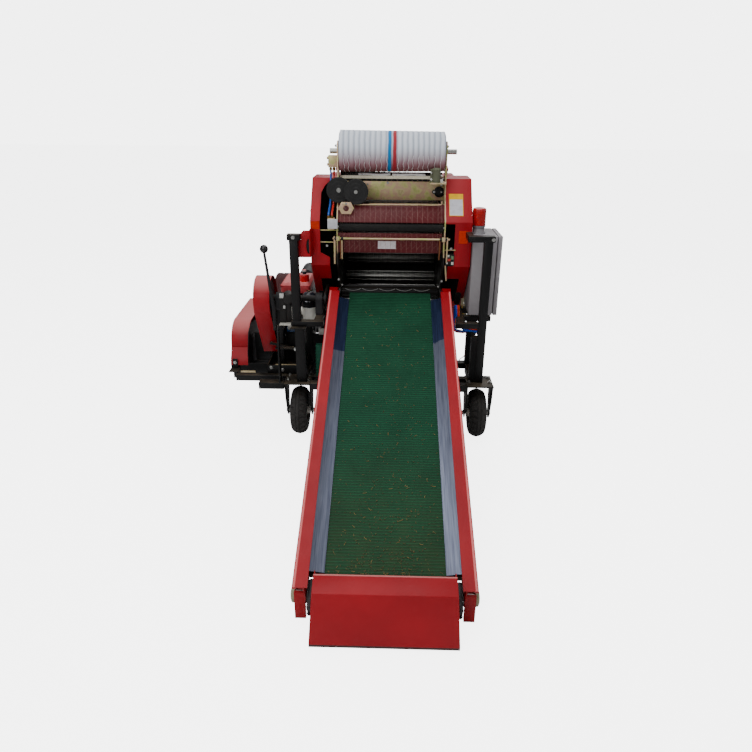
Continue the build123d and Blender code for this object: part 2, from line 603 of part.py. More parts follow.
# Small drive of the net feed: an upright actuator, a flange bearing and two discs on a rocker
ROCKER_X = -172
ROCKER_Z = 1239
DISC_R = 57
with BuildPart() as net_feed_drive:
    with BuildSketch(PLAN.offset(1286)) as actuator:
        with Locations((212, 124)):
            Circle(17)
    extrude(amount=66)
    with BuildSketch(FRONT.offset(-255)) as bearing:
        with Locations((230, 1240)):
            Circle(26)
    extrude(amount=16)
    for x, y, z in ((-256, 150, 1245), (ROCKER_X, 134, ROCKER_Z)):
        with BuildSketch(FRONT.offset(-y)) as pressure_disc:
            with Locations((x, z)):
                Circle(DISC_R)
        extrude(amount=12)
    bars([(-262, ROCKER_X + 8, 150, 156, 1236, 1250)])
    with BuildSketch(FRONT.offset(-255)) as rocker_shaft:
        with Locations((ROCKER_X, ROCKER_Z)):
            Circle(9)
    extrude(amount=130)
write(net_feed_drive, "net_feed_drive")

# Net roll with its shaft in the two brackets
ROLL_HALF = HALF_WIDTH - 5
with BuildPart() as net_roll:
    disc(-ROLL_HALF, ROLL_HALF, NET_Y, NET_Z, NET_R)
    disc(-ROLL_HALF, ROLL_HALF, NET_Y, NET_Z, NET_SHAFT_R, Mode.SUBTRACT)
write(net_roll, "net_roll")
with BuildPart() as net_shaft:
    disc(-303, WALL_OUT + 2, NET_Y, NET_Z, NET_SHAFT_R)
    disc(WALL_OUT + 2, NET_SHAFT_END, NET_Y, NET_Z, NET_SHAFT_END_R)
write(net_shaft, "net_shaft")

# Rubber roller that draws the net in
with BuildPart() as feed_roller:
    disc(-ROLL_HALF, ROLL_HALF, FEED_ROLLER_Y, FEED_ROLLER_Z, FEED_ROLLER_R)
    disc(-WALL_OUT - 10, WALL_OUT, FEED_ROLLER_Y, FEED_ROLLER_Z, FEED_SHAFT_R)
write(feed_roller, "feed_roller")

# Gate: two hollow side covers, the shell between them, hinge ears and the bosses of the cylinders
GATE_OUT = WALL_OUT + GATE_COVER_DEPTH
GATE_OUTLINE = [
    (GATE_FRONT, CASE_BOTTOM), (582, CASE_BOTTOM), (CASE_REAR, 812), (CASE_REAR, 1092), (582, CASE_TOP),
    (GATE_FRONT, CASE_TOP),
]
EYE_ANGLE = -38
EYE_Y = SPLIT_Y + GATE_EYE_R * math.cos(math.radians(EYE_ANGLE))
EYE_Z = GATE_PIN_Z + GATE_EYE_R * math.sin(math.radians(EYE_ANGLE))
GATE_EAR_X = HINGE_X + 5
with BuildPart() as gate_sides:
    for side in BOTH_SIDES:
        near, far = sorted((side * HALF_WIDTH, side * GATE_OUT))
        plate(near, far, GATE_OUTLINE)
        near, far = sorted((side * WALL_OUT, side * (GATE_OUT - SHEET)))
        hollow = inner_outline(GATE_OUTLINE, SHEET)
        plate(near, far, [(GATE_FRONT, CASE_BOTTOM + SHEET)] + hollow[1:5] + [(GATE_FRONT, CASE_TOP - SHEET)],
              Mode.SUBTRACT)
        boss_near, boss_far = sorted((side * GATE_OUT, side * (GATE_OUT + 5)))
        disc(boss_near, boss_far, EYE_Y, EYE_Z, 24)
        ear_x = side * GATE_EAR_X
        plate(ear_x - 3, ear_x + 3, [
            (GATE_FRONT, CASE_TOP), (490, CASE_TOP), (458, GATE_PIN_Z + 8), (SPLIT_Y, GATE_PIN_Z),
        ])
        disc(ear_x - 3, ear_x + 3, SPLIT_Y, GATE_PIN_Z, 20)
        disc(ear_x - 3, ear_x + 3, SPLIT_Y, GATE_PIN_Z, GATE_PIN_R + RUNNING, Mode.SUBTRACT)
write(gate_sides, "gate_sides")
with BuildPart() as gate_shell:
    plate(-HALF_WIDTH, HALF_WIDTH, GATE_OUTLINE)
    hollow = inner_outline(GATE_OUTLINE, SHEET)
    plate(-HALF_WIDTH, HALF_WIDTH, [(GATE_FRONT, CASE_BOTTOM + SHEET)] + hollow[1:5] + [(GATE_FRONT, CASE_TOP - SHEET)],
          Mode.SUBTRACT)
write(gate_shell, "gate_shell")

# Gate cylinders, drawn along their own axis from the foot pin to the eye
CYLINDER_RUN = (EYE_Y - CYLINDER_BASE[0], EYE_Z - CYLINDER_BASE[1])
CLOSED_LENGTH = math.hypot(*CYLINDER_RUN)
BARREL_START = 25
ROD_START = 50
EYE_HALF = 12
EYE_R = 18
ROD_PIN_R = 10
for side, name in ((-1, "left"), (1, "right")):
    along = Plane(
        origin=(MID_X + side * CYLINDER_X, AXLE_Y + CYLINDER_BASE[0], CYLINDER_BASE[1]),
        x_dir=(1, 0, 0), z_dir=(0, CYLINDER_RUN[0], CYLINDER_RUN[1]))
    centre = side * CYLINDER_X
    with BuildPart() as barrel:
        with BuildSketch(along.offset(BARREL_START)) as tube:
            Circle(BARREL_R)
        extrude(amount=BARREL_LENGTH)
        disc(centre - EYE_HALF, centre + EYE_HALF, *CYLINDER_BASE, EYE_R)
        with BuildSketch(along) as neck:
            Rectangle(2 * EYE_HALF, EYE_R)
        extrude(amount=BARREL_START)
        disc(centre - EYE_HALF, centre + EYE_HALF, *CYLINDER_BASE, PIN_R + RUNNING, Mode.SUBTRACT)
        with BuildSketch(along.offset(ROD_START - 5)) as bore:
            Circle(ROD_R + RUNNING)
        extrude(amount=BARREL_LENGTH, mode=Mode.SUBTRACT)
    write(barrel, f"cylinder_{name}_barrel")
    with BuildPart() as rod:
        with BuildSketch(along.offset(ROD_START)) as round_rod:
            Circle(ROD_R)
        extrude(amount=CLOSED_LENGTH - ROD_START)
        disc(centre - EYE_HALF, centre + EYE_HALF, EYE_Y, EYE_Z, EYE_R)
        pin_near, pin_far = sorted((side * (GATE_OUT + 7), side * 385))
        disc(pin_near, pin_far, EYE_Y, EYE_Z, ROD_PIN_R)
    write(rod, f"cylinder_{name}_rod")

# Ramp for the finished bale, on two cheeks between the rear rails
with BuildPart() as bale_ramp:
    plate(-RAIL_X, RAIL_X, [(450, 581), (900, 426), (900, 430), (450, 585)])
    for x in (-RAIL_X, RAIL_X - 4):
        plate(x, x + 4, [(450, 583), (450, DECK), (FRAME_REAR, DECK), (900, 428)])
write(bale_ramp, "bale_ramp")

# Conveyor: two outward-facing channels with feet, cut back at the top so that they clear the case
RAIL_HEAD = -25
RAIL_FOOT = CONVEYOR_LENGTH + 30.6
RAIL_LOW = RAIL_TOP - RAIL_DEPTH
FOOT_TAB_Y = TAIL_Y - 35
with BuildPart() as conveyor_rails:
    for side in BOTH_SIDES:
        channel = [(side * x, y) for x, y in (
            (RAIL_IN, RAIL_LOW), (RAIL_OUT, RAIL_LOW), (RAIL_OUT, RAIL_LOW + SHEET), (RAIL_IN + SHEET, RAIL_LOW + SHEET),
            (RAIL_IN + SHEET, RAIL_TOP - SHEET), (RAIL_OUT, RAIL_TOP - SHEET), (RAIL_OUT, RAIL_TOP), (RAIL_IN, RAIL_TOP),
        )]
        extrude(outline(ACROSS.offset(RAIL_HEAD), channel), amount=RAIL_FOOT - RAIL_HEAD)
        near, far = sorted((side * (RAIL_IN + SHEET), side * (RAIL_OUT + 1)))
        bars([(near, far, FOOT_TAB_Y, FOOT_TAB_Y + 12, 0, 110)])
    extrude(outline(BELT_PLANE.offset(-400), [(RAIL_HEAD - 1, 60), (40, RAIL_TOP + 1), (RAIL_HEAD - 1, RAIL_TOP + 1)]),
            amount=800, mode=Mode.SUBTRACT)
    for along_belt in (0, CONVEYOR_LENGTH):
        with BuildSketch(BELT_PLANE.offset(-400)) as shaft_hole:
            with Locations((along_belt, 0)):
                Circle(HEAD_SHAFT_R + SEAT)
        extrude(amount=800, mode=Mode.SUBTRACT)
write(conveyor_rails, "conveyor_rails")

# Conveyor: slide plate with its crossbars, and the stainless strips that seal the belt's edges
BELT_HALF = BELT_WIDTH / 2
BED_HEAD = 45
BED_LENGTH = CONVEYOR_LENGTH - 2 * BED_HEAD
CROSSBARS = [BED_HEAD + BED_LENGTH * share for share in (0.08, 0.31, 0.55, 0.79, 0.965)]
with BuildPart() as conveyor_bed:
    extrude(outline(ACROSS.offset(BED_HEAD), [(-205, 31), (205, 31), (205, 33.5), (-205, 33.5)]), amount=BED_LENGTH)
    for along_belt in CROSSBARS:
        extrude(outline(ACROSS.offset(along_belt), [(-RAIL_IN, -5), (RAIL_IN, -5), (RAIL_IN, 31), (-RAIL_IN, 31)]),
                amount=30)
write(conveyor_bed, "conveyor_bed")
with BuildPart() as belt_strips:
    for side in BOTH_SIDES:
        extrude(outline(ACROSS.offset(BED_HEAD), [(side * x, y) for x, y in (
            (BELT_HALF, 39.5), (RAIL_IN, 52), (RAIL_IN, 100), (RAIL_IN - 2.5, 100), (RAIL_IN - 2.5, 54), (BELT_HALF, 42),
        )]), amount=BED_LENGTH - 11)
write(belt_strips, "belt_strips")

# Conveyor: flat belt loop with low cross ribs, and its two drums
BELT_IN = DRUM_R
BELT_OUT = DRUM_R + BELT_THICK
with BuildPart() as conveyor_belt:
    with BuildSketch(BELT_PLANE) as loop:
        with Locations((CONVEYOR_LENGTH / 2, 0)):
            SlotCenterToCenter(CONVEYOR_LENGTH, 2 * BELT_OUT)
            SlotCenterToCenter(CONVEYOR_LENGTH, 2 * BELT_IN, mode=Mode.SUBTRACT)
    extrude(amount=BELT_HALF, both=True)
write(conveyor_belt, "conveyor_belt")
SHAFT_END = 322
BEARING_R = 30
with BuildPart() as conveyor_drums:
    for along_belt in (0, CONVEYOR_LENGTH):
        for half, radius in ((BELT_HALF - 4, DRUM_R - SEAT), (SHAFT_END, HEAD_SHAFT_R)):
            with BuildSketch(BELT_PLANE) as drum:
                with Locations((along_belt, 0)):
                    Circle(radius)
            extrude(amount=half, both=True)
    for x in (-RAIL_OUT - 16, RAIL_OUT + 1):
        with BuildSketch(BELT_PLANE.offset(-x - 15)) as bearing:
            with Locations((CONVEYOR_LENGTH, 0)):
                Circle(BEARING_R)
        extrude(amount=15)
write(conveyor_drums, "conveyor_drums")

# Conveyor: hood over the feed end on two cheeks
HOOD_CHEEK_X = HOOD_TOP_WIDTH / 2
HOOD_BACK = TAIL_Y - 70
HOOD_TOP_Z = TAIL_Z + 149
HOOD_BEND_Y = TAIL_Y - 140
HOOD_BEND_Z = TAIL_Z + 129
HOOD_FOOT_Z = 10
HOOD_OUTER = HOOD_TOP_WIDTH / 2 + HOOD_FOOT_WIDTH / 2
with BuildPart() as conveyor_hood:
    plate(-HOOD_FOOT_WIDTH / 2, HOOD_FOOT_WIDTH / 2, [
        (HOOD_BACK, HOOD_TOP_Z), (HOOD_BEND_Y, HOOD_BEND_Z), (HOOD_FOOT_Y, HOOD_FOOT_Z),
        (HOOD_FOOT_Y + SHEET, HOOD_FOOT_Z), (HOOD_BEND_Y + 2.5, HOOD_BEND_Z - 2.5), (HOOD_BACK, HOOD_TOP_Z - SHEET),
    ])
    for side in BOTH_SIDES:
        extrude(outline(FRONT.offset(-HOOD_BACK - 10), [(side * x, z) for x, z in (
            (HOOD_TOP_WIDTH / 2, HOOD_TOP_Z + 5), (HOOD_TOP_WIDTH / 2, HOOD_BEND_Z - 5),
            (HOOD_FOOT_WIDTH / 2, HOOD_FOOT_Z), (HOOD_OUTER, HOOD_FOOT_Z), (HOOD_OUTER, HOOD_TOP_Z + 5),
        )]), amount=HOOD_REACH, mode=Mode.SUBTRACT)
        near, far = sorted((side * HOOD_CHEEK_X, side * (HOOD_CHEEK_X - SHEET)))
        plate(near, far, [
            (HOOD_BACK, HOOD_TOP_Z - 2), (HOOD_BEND_Y + 2, HOOD_BEND_Z - 1.5), (HOOD_FOOT_Y + 2, HOOD_FOOT_Z + 2),
            (TAIL_Y - 130, HOOD_FOOT_Z + 2), (TAIL_Y + 25, TAIL_Z - 31), (TAIL_Y + 25, TAIL_Z + 29),
            (TAIL_Y - 52, TAIL_Z + 146),
        ])
        disc(near, far, TAIL_Y, TAIL_Z, HEAD_SHAFT_R + SEAT, Mode.SUBTRACT)
write(conveyor_hood, "conveyor_hood")


def hull(x0, x1, circles, mode=Mode.ADD):
    """Add or cut the straight-sided wrap around circles given as (y, z, radius)."""
    with BuildSketch(SIDE.offset(x0)) as wrap:
        for y, z, radius in circles:
            with Locations((y, z)):
                Circle(radius)
        make_hull()
    extrude(wrap.sketch, amount=x1 - x0, mode=mode)


# Drive guards: sheet pans open towards the machine, the tall one beside it and the low one outside
TALL_CIRCLES = [(MAIN_Y, MAIN_Z, 115), (JACK_Y, JACK_Z, 95)]
LOW_CIRCLES = [(JACK_Y, JACK_Z, 118), (CRANK_Y, CRANK_Z, 60)]
STAND_LEFT = 15 - TALL_IN
for label, circles, outside, inside, cut in (
        ("tall_guard", TALL_CIRCLES, TALL_GUARD_OUT, TALL_IN, 390),
        ("low_guard", LOW_CIRCLES, LOW_GUARD_OUT, LOW_IN, 362)):
    with BuildPart() as guard:
        hull(-outside, -inside, circles)
        hull(-outside + SHEET, -inside, [(y, z, radius - SHEET) for y, z, radius in circles], Mode.SUBTRACT)
        with Locations((MID_X - (outside + inside) / 2, AXLE_Y + JACK_Y, cut - 150)):
            Box(outside - inside, 900, 300, mode=Mode.SUBTRACT)
        disc(-TALL_GUARD_OUT, -TALL_GUARD_OUT + SHEET, JACK_Y, JACK_Z, 18, Mode.SUBTRACT)
    write(guard, label)

# Straps and arms that carry the guards, and the stand of the main shaft
STRAP = 6
LOW_STRAP_X = SHEET - LOW_GUARD_OUT
with BuildPart() as guard_stays:
    bars([
        (LOW_STRAP_X, LOW_STRAP_X + 57, CHANNEL_Y, 260, DECK, DECK + STRAP),
        (LOW_STRAP_X, LOW_STRAP_X + STRAP, CHANNEL_Y, 260, DECK + STRAP, 400),
        (2 - LOW_GUARD_OUT, 6 - LEFT_CHANNEL_END, 40, 150, DECK + 2, 324),
        (-LEFT_CHANNEL_END, 6 - LEFT_CHANNEL_END, 40, CHANNEL_Y, DECK, 324),
        (-TALL_IN, STAND_LEFT, 46, 100, 594, 602),
        (STAND_LEFT, STAND_LEFT + 30, 85, 145, DECK, 655),
        (-TALL_IN, STAND_LEFT, 132, 168, 424, 430),
        (STAND_LEFT, -LOW_POST_X - TUBE / 2, -2, 24, 470, 476),
        (STAND_LEFT, STAND_LEFT + STRAP, -2, 168, 470, 476),
        (STAND_LEFT, STAND_LEFT + STRAP, 132, 168, 424, 476),
        (-LOW_POST_X - TUBE / 2, -LOW_POST_X - TUBE / 2 + 10, -10, 24, 470, 476),
    ])
write(guard_stays, "guard_stays")

# Pulleys with their shafts: main, jackshaft and crank
TALL_PULLEY = (12 - TALL_GUARD_OUT, -TALL_IN - 10)
LOW_PULLEY = (15 - LOW_GUARD_OUT, -LOW_IN - 15)
SHAFT_TIP = 8 - LOW_GUARD_OUT
PULLEYS = (
    (*TALL_PULLEY, MAIN_Y, MAIN_Z, 92), (*TALL_PULLEY, JACK_Y, JACK_Z, 62), (*LOW_PULLEY, JACK_Y, JACK_Z, 92),
    (*LOW_PULLEY, CRANK_Y, CRANK_Z, 45),
)
SHAFTS = (
    (6 - TALL_GUARD_OUT, -322, MAIN_Y, MAIN_Z, 15), (SHAFT_TIP, 16 - TALL_IN, JACK_Y, JACK_Z, 15),
    (SHAFT_TIP, -ENGINE_LEFT, CRANK_Y, CRANK_Z, 18),
)
with BuildPart() as drive_pulleys:
    for x0, x1, y, z, radius in PULLEYS + SHAFTS:
        disc(x0, x1, y, z, radius)
    disc(20 - LOW_IN, 30 - LOW_IN, JACK_Y, JACK_Z, 84)
write(drive_pulleys, "drive_pulleys")
FLYWHEEL_X = (7 - TALL_GUARD_OUT, -TALL_IN - 10)
with BuildPart() as flywheel:
    disc(*FLYWHEEL_X, CRANK_Y, CRANK_Z, FLYWHEEL_R)
    disc(FLYWHEEL_X[0], FLYWHEEL_X[0] + 18, CRANK_Y, CRANK_Z, FLYWHEEL_R - 35, Mode.SUBTRACT)
    disc(FLYWHEEL_X[0], FLYWHEEL_X[0] + 18, CRANK_Y, CRANK_Z, 60)
    disc(*FLYWHEEL_X, CRANK_Y, CRANK_Z, 18, Mode.SUBTRACT)
write(flywheel, "flywheel")

# Drive belts and the rotor's chain, each one closed loop
LOOPS = (
    (TALL_PULLEY[0] + 5, TALL_PULLEY[1] - 5, [(MAIN_Y, MAIN_Z, 92), (JACK_Y, JACK_Z, 62)], 10),
    (LOW_PULLEY[0] + 5, LOW_PULLEY[1] - 5, [(JACK_Y, JACK_Z, 92), (CRANK_Y, CRANK_Z, 45)], 10),
)
with BuildPart() as drive_belts:
    for x0, x1, circles, thick in LOOPS:
        hull(x0, x1, [(y, z, radius + thick) for y, z, radius in circles])
        hull(x0, x1, circles, Mode.SUBTRACT)
write(drive_belts, "drive_belts")
SPROCKETS = [(MAIN_Y, MAIN_Z, 30), (ROTOR_Y, ROTOR_Z, 30)]
with BuildPart() as rotor_chain:
    hull(SPROCKET_X - 6, SPROCKET_X + 6, [(y, z, radius + 6) for y, z, radius in SPROCKETS])
    hull(SPROCKET_X - 6, SPROCKET_X + 6, SPROCKETS, Mode.SUBTRACT)
    for y, z, radius in SPROCKETS:
        disc(SPROCKET_X - 3, SPROCKET_X + 3, y, z, radius)
    disc(SPROCKET_X - 6, SPROCKET_X + 6, MAIN_Y, MAIN_Z, 15, Mode.SUBTRACT)
    disc(SPROCKET_X - 6, SPROCKET_X + 6, ROTOR_Y, ROTOR_Z, ROTOR_SHAFT_R + SEAT, Mode.SUBTRACT)
write(rotor_chain, "rotor_chain")

# Pillow blocks; columns: x from, x to, y, z of the shaft, foot z, half width of the foot
BLOCKS = (
    (-LOW_IN - 10, 18 - LOW_IN, JACK_Y, JACK_Z, DECK, 40), (-TALL_IN - 6, 14 - TALL_IN, JACK_Y, JACK_Z, DECK, 40),
    (STAND_LEFT, STAND_LEFT + 30, MAIN_Y, MAIN_Z, 655, 38), (-380, -345, MAIN_Y, MAIN_Z, UPPER_ARM_Z + UPPER_ARM, 38),
)
with BuildPart() as bearing_blocks:
    for x0, x1, y, z, foot, half in BLOCKS:
        plate(x0, x1, [(y - half, foot), (y + half, foot), (y + half, foot + 14), (y + 28, z), (y - 28, z),
                       (y - half, foot + 14)])
        disc(x0, x1, y, z, 30)
        disc(x0, x1, y, z, 15 + SEAT, Mode.SUBTRACT)
write(bearing_blocks, "bearing_blocks")

# Open single-cylinder diesel lying along the machine: crankcase, cylinder, head with its valve cover, gear case
# and fuel pump on the flywheel's far side, muffler on its elbow
ENGINE_RIGHT = ENGINE_LEFT - 150
with BuildPart() as engine_block:
    plate(-ENGINE_LEFT, -ENGINE_RIGHT, [
        (480, BED_TOP), (830, BED_TOP), (830, 580), (790, 640), (480, 640),
    ])
    bars([
        (20 - ENGINE_LEFT, -ENGINE_RIGHT - 5, 300, 480, 425, 595),
        (25 - ENGINE_LEFT, -ENGINE_RIGHT - 20, 260, 300, 435, 585),
        (35 - ENGINE_LEFT, -ENGINE_RIGHT - 25, 228, 260, 450, 570),
        (45 - ENGINE_LEFT, -ENGINE_RIGHT - 45, 490, 590, 640, 670),
        (15 - ENGINE_LEFT, -ENGINE_RIGHT - 15, 340, 352, 415, 605),
        (15 - ENGINE_LEFT, -ENGINE_RIGHT - 15, 430, 442, 415, 605),
    ])
    disc(-ENGINE_LEFT, 20 - ENGINE_LEFT, 560, 560, 60)
    disc(-ENGINE_RIGHT, 12 - ENGINE_RIGHT, CRANK_Y, CRANK_Z, 95)
    disc(-ENGINE_RIGHT, 12 - ENGINE_RIGHT, 560, 430, 50)
    disc(-ENGINE_RIGHT, 34 - ENGINE_RIGHT, 560, 430, 18)
    disc(-ENGINE_RIGHT, 40 - ENGINE_RIGHT, 540, 560, 22)
    bars([(-ENGINE_RIGHT, 30 - ENGINE_RIGHT, 500, 600, 590, 630)])
    disc(-ENGINE_LEFT, -ENGINE_RIGHT, CRANK_Y, CRANK_Z, 18, Mode.SUBTRACT)
    with BuildSketch(FRONT.offset(-830)) as muffler:
        with Locations((-500, 690)):
            Circle(44)
    extrude(amount=190)
    with BuildSketch(FRONT.offset(-840)) as tail_pipe:
        with Locations((-500, 700)):
            Circle(14)
    extrude(amount=210)
    bars([(-520, -480, 720, 760, 640, 660)])
write(engine_block, "engine_block")

# Fuel tank with a hipped top and two caps
with BuildPart() as fuel_tank:
    with BuildSketch(PLAN.offset(670)) as tank_foot:
        with Locations((-522.5, 475)):
            RectangleRounded(165, 250, 20)
    extrude(amount=42)
    with BuildSketch(PLAN.offset(712)) as tank_shoulder:
        with Locations((-522.5, 475)):
            RectangleRounded(165, 250, 20)
    extrude(amount=15, taper=45)
    with BuildSketch(PLAN.offset(727)) as filler:
        with Locations((-476, 400)):
            Circle(24)
    extrude(amount=40)
    with BuildSketch(PLAN.offset(767)) as breather:
        with Locations((-476, 400)):
            Circle(11)
    extrude(amount=24)
write(fuel_tank, "fuel_tank")

# Oil-bath air cleaner on the rear post, with its pipe to the cylinder head
CLEANER = (-425, 187)
with BuildPart() as air_cleaner:
    for low, high, radius in ((560, 648, 38), (648, 660, 40), (660, 700, 36), (700, 725, 26)):
        with BuildSketch(PLAN.offset(low)) as cleaner:
            with Locations(CLEANER):
                Circle(radius)
        extrude(amount=high - low)
    bars([(-440, -410, 187, CHANNEL_Y, 585, 605)])
    with BuildSketch(SIDE.offset(-520)) as intake:
        with Locations((187, 620)):
            Circle(20)
    extrude(amount=80)
    bars([(-545, -500, 170, 228, 520, 555)])
    with BuildSketch(PLAN.offset(540)) as drop:
        with Locations((-520, 187)):
            Circle(20)
    extrude(amount=95)
write(air_cleaner, "air_cleaner")

# Finned motor on the left main rail
with BuildPart() as finned_motor:
    with BuildSketch(FRONT.offset(20)) as motor:
        with Locations((-275, 404)):
            Circle(74)
    extrude(amount=-200)
    for y in (-12, 20, 52, 84, 116, 148, 178):
        with BuildSketch(FRONT.offset(-y)) as fin:
            with Locations((-275, 404)):
                Circle(80)
        extrude(amount=8)
    bars([(-325, -225, -10, 170, DECK, 345)])
write(finned_motor, "finned_motor")

# Cabinet with its beacon's socket, open towards the right for the door
CABINET_WALL = CABINET_RIGHT - 3
HINGE_LINE = (536, 308)
KNUCKLE_R = 6
HINGE_PIN_R = 3
KNUCKLES_FIXED = (700, 960)
BEACON = (432, 150)
with BuildPart() as cabinet:
    bars([(CABINET_LEFT, CABINET_WALL, CABINET_FRONT, CABINET_REAR, CABINET_BOTTOM, CABINET_TOP)])
    with Locations((MID_X + (CABINET_LEFT + CABINET_RIGHT) / 2 + SHEET / 2, AXLE_Y + (CABINET_FRONT + CABINET_REAR) / 2,
                    (CABINET_BOTTOM + CABINET_TOP) / 2)):
        Box(CABINET_RIGHT - CABINET_LEFT - SHEET, CABINET_REAR - CABINET_FRONT - 2 * SHEET,
            CABINET_TOP - CABINET_BOTTOM - 2 * SHEET, mode=Mode.SUBTRACT)
    for z in KNUCKLES_FIXED:
        bars([
            (CABINET_WALL - 12, CABINET_WALL, CABINET_REAR, HINGE_LINE[1] + 1, z, z + 30),
            (CABINET_WALL, HINGE_LINE[0], HINGE_LINE[1] - 3, HINGE_LINE[1] + 1, z, z + 30),
        ])
        with BuildSketch(PLAN.offset(z)) as knuckle:
            with Locations(HINGE_LINE):
                Circle(KNUCKLE_R)
        extrude(amount=30)
        with BuildSketch(PLAN.offset(z)) as knuckle_bore:
            with Locations(HINGE_LINE):
                Circle(HINGE_PIN_R + RUNNING)
        extrude(amount=30, mode=Mode.SUBTRACT)
    for low, high, radius in ((CABINET_TOP, 1052, 35), (1052, 1085, 28)):
        with BuildSketch(PLAN.offset(low)) as socket:
            with Locations(BEACON):
                Circle(radius)
        extrude(amount=high - low)
write(cabinet, "cabinet")

# Cabinet door, hung on the outer rear corner and set off from the cabinet's rim by its seal's gap
DOOR_IN = CABINET_RIGHT + 2
DOOR_OUT = CABINET_RIGHT + DOOR_DEPTH
with BuildPart() as cabinet_door:
    bars([(DOOR_IN, DOOR_OUT, CABINET_FRONT, CABINET_REAR, CABINET_BOTTOM, CABINET_TOP)])
    for z in KNUCKLES_FIXED:
        bars([(HINGE_LINE[0] - 3, DOOR_OUT - 3, CABINET_REAR, HINGE_LINE[1] - 2, z + 31, z + 61)])
        with BuildSketch(PLAN.offset(z + 31)) as knuckle:
            with Locations(HINGE_LINE):
                Circle(KNUCKLE_R)
        extrude(amount=30)
        with BuildSketch(PLAN.offset(z)) as hinge_pin:
            with Locations(HINGE_LINE):
                Circle(HINGE_PIN_R)
        extrude(amount=61)
write(cabinet_door, "cabinet_door")
with BuildPart() as beacon_lens:
    with BuildSketch(PLAN.offset(1085)) as lens:
        with Locations(BEACON):
            Circle(34)
    extrude(amount=77)
    with BuildSketch(PLAN.offset(1162)) as lens_top:
        with Locations(BEACON):
            Circle(34)
    extrude(amount=8, taper=45)
write(beacon_lens, "beacon_lens")

# Clutch lever: a bent flat bar with a ball, on a bracket that stands on the front beam
KNOB_X = -600
KNOB_Z = 994
with BuildPart() as clutch_lever:
    extrude(outline(FRONT.offset(-LEVER_Y - 9), [
        (-570, LEVER_Z), (-562, LEVER_Z), (-562, LEVER_Z + 110), (-597, KNOB_Z - 12), (-605, KNOB_Z - 12),
        (-570, LEVER_Z + 110),
    ]), amount=18)
    disc(-570, -562, LEVER_Y, LEVER_Z, 14)
    disc(-562, -548, LEVER_Y, LEVER_Z, LEVER_PIN_R)
    with Locations((MID_X + KNOB_X, AXLE_Y + LEVER_Y, KNOB_Z)):
        Sphere(20)
write(clutch_lever, "clutch_lever")

# Left brace of the post to the case, and the pivoted arm towards the engine's governor
with BuildPart() as post_ties:
    extrude(outline(FRONT.offset(-3), [(-442, 947), (-362, 947), (-362, 1075), (-416, 1075), (-430, 1061), (-430, 1032), (-442, 1032)]), amount=6)
    with BuildSketch(FRONT.offset(-3)) as tie_hole:
        with Locations((-400, 1000)):
            RegularPolygon(18, 6)
    extrude(amount=6, mode=Mode.SUBTRACT)
    bars([(-368, -362, 3, CASE_FRONT, 947, 1075)])
write(post_ties, "post_ties")

# Valves of the net feed and the two air hoses between them
with BuildPart() as air_valves:
    bars([
        (-310, -WALL_OUT, 195, 240, 1345, 1400),
        (-303, -272, 40, 80, 1073, 1125),
        (-303, -288, 80, 120, 1085, 1113),
    ])
write(air_valves, "air_valves")
HOSE_R = 5
HOSE_LINES = (-300, -284)
with BuildPart() as air_hoses:
    for x in HOSE_LINES:
        points = ((222, 1345), (222, 1290), (170, 1232), (170, 1182), (60, 1145), (60, 1125))
        moved = [(MID_X + x, AXLE_Y + y, z) for y, z in points]
        with BuildLine() as run:
            FilletPolyline(*moved, radius=20)
        with BuildSketch(Plane(origin=run.line @ 0, z_dir=run.line % 0)) as round_hose:
            Circle(HOSE_R)
        sweep(path=run.line)
write(air_hoses, "air_hoses")
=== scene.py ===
"""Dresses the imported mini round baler: painted frame, belt conveyor, net unit, drive and wheels."""

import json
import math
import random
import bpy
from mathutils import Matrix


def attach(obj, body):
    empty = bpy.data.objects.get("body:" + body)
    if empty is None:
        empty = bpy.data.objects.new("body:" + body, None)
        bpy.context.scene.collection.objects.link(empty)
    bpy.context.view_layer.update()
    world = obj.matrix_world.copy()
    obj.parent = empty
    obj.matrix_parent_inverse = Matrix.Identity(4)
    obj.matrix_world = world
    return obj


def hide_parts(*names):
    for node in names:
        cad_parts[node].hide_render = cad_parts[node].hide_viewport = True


bl_info = {
    "name": "Mini Round Baler",
    "version": (1, 0, 0),
    "blender": (4, 5, 0),
    "location": "View3D > Sidebar > Baler",
    "description": "Builds the finished pieces of a small round baler over its solid model",
    "category": "Object",
}

import bmesh
import bpy
from mathutils import Matrix, Vector

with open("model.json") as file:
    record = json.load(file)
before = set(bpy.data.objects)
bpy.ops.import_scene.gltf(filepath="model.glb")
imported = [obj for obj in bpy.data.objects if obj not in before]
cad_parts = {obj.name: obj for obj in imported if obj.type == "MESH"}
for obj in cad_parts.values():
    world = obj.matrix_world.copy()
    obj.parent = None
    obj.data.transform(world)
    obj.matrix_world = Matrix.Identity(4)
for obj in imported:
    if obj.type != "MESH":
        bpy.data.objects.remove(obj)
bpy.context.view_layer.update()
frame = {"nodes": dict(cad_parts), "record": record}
NODES = frame["nodes"]
BODY_OF = {node: body for body, members in frame["record"]["behaviour"]["bodies"].items() for node in members}
SLOT_OF = {part["node"]: part["material_slot"] for part in frame["record"]["subparts"]}

# The machine's own lines in the shared frame: chamber mid-plane, front axle, both in metres
MID_X = 0.154
AXLE_Y = 0.2875
MM = 0.001

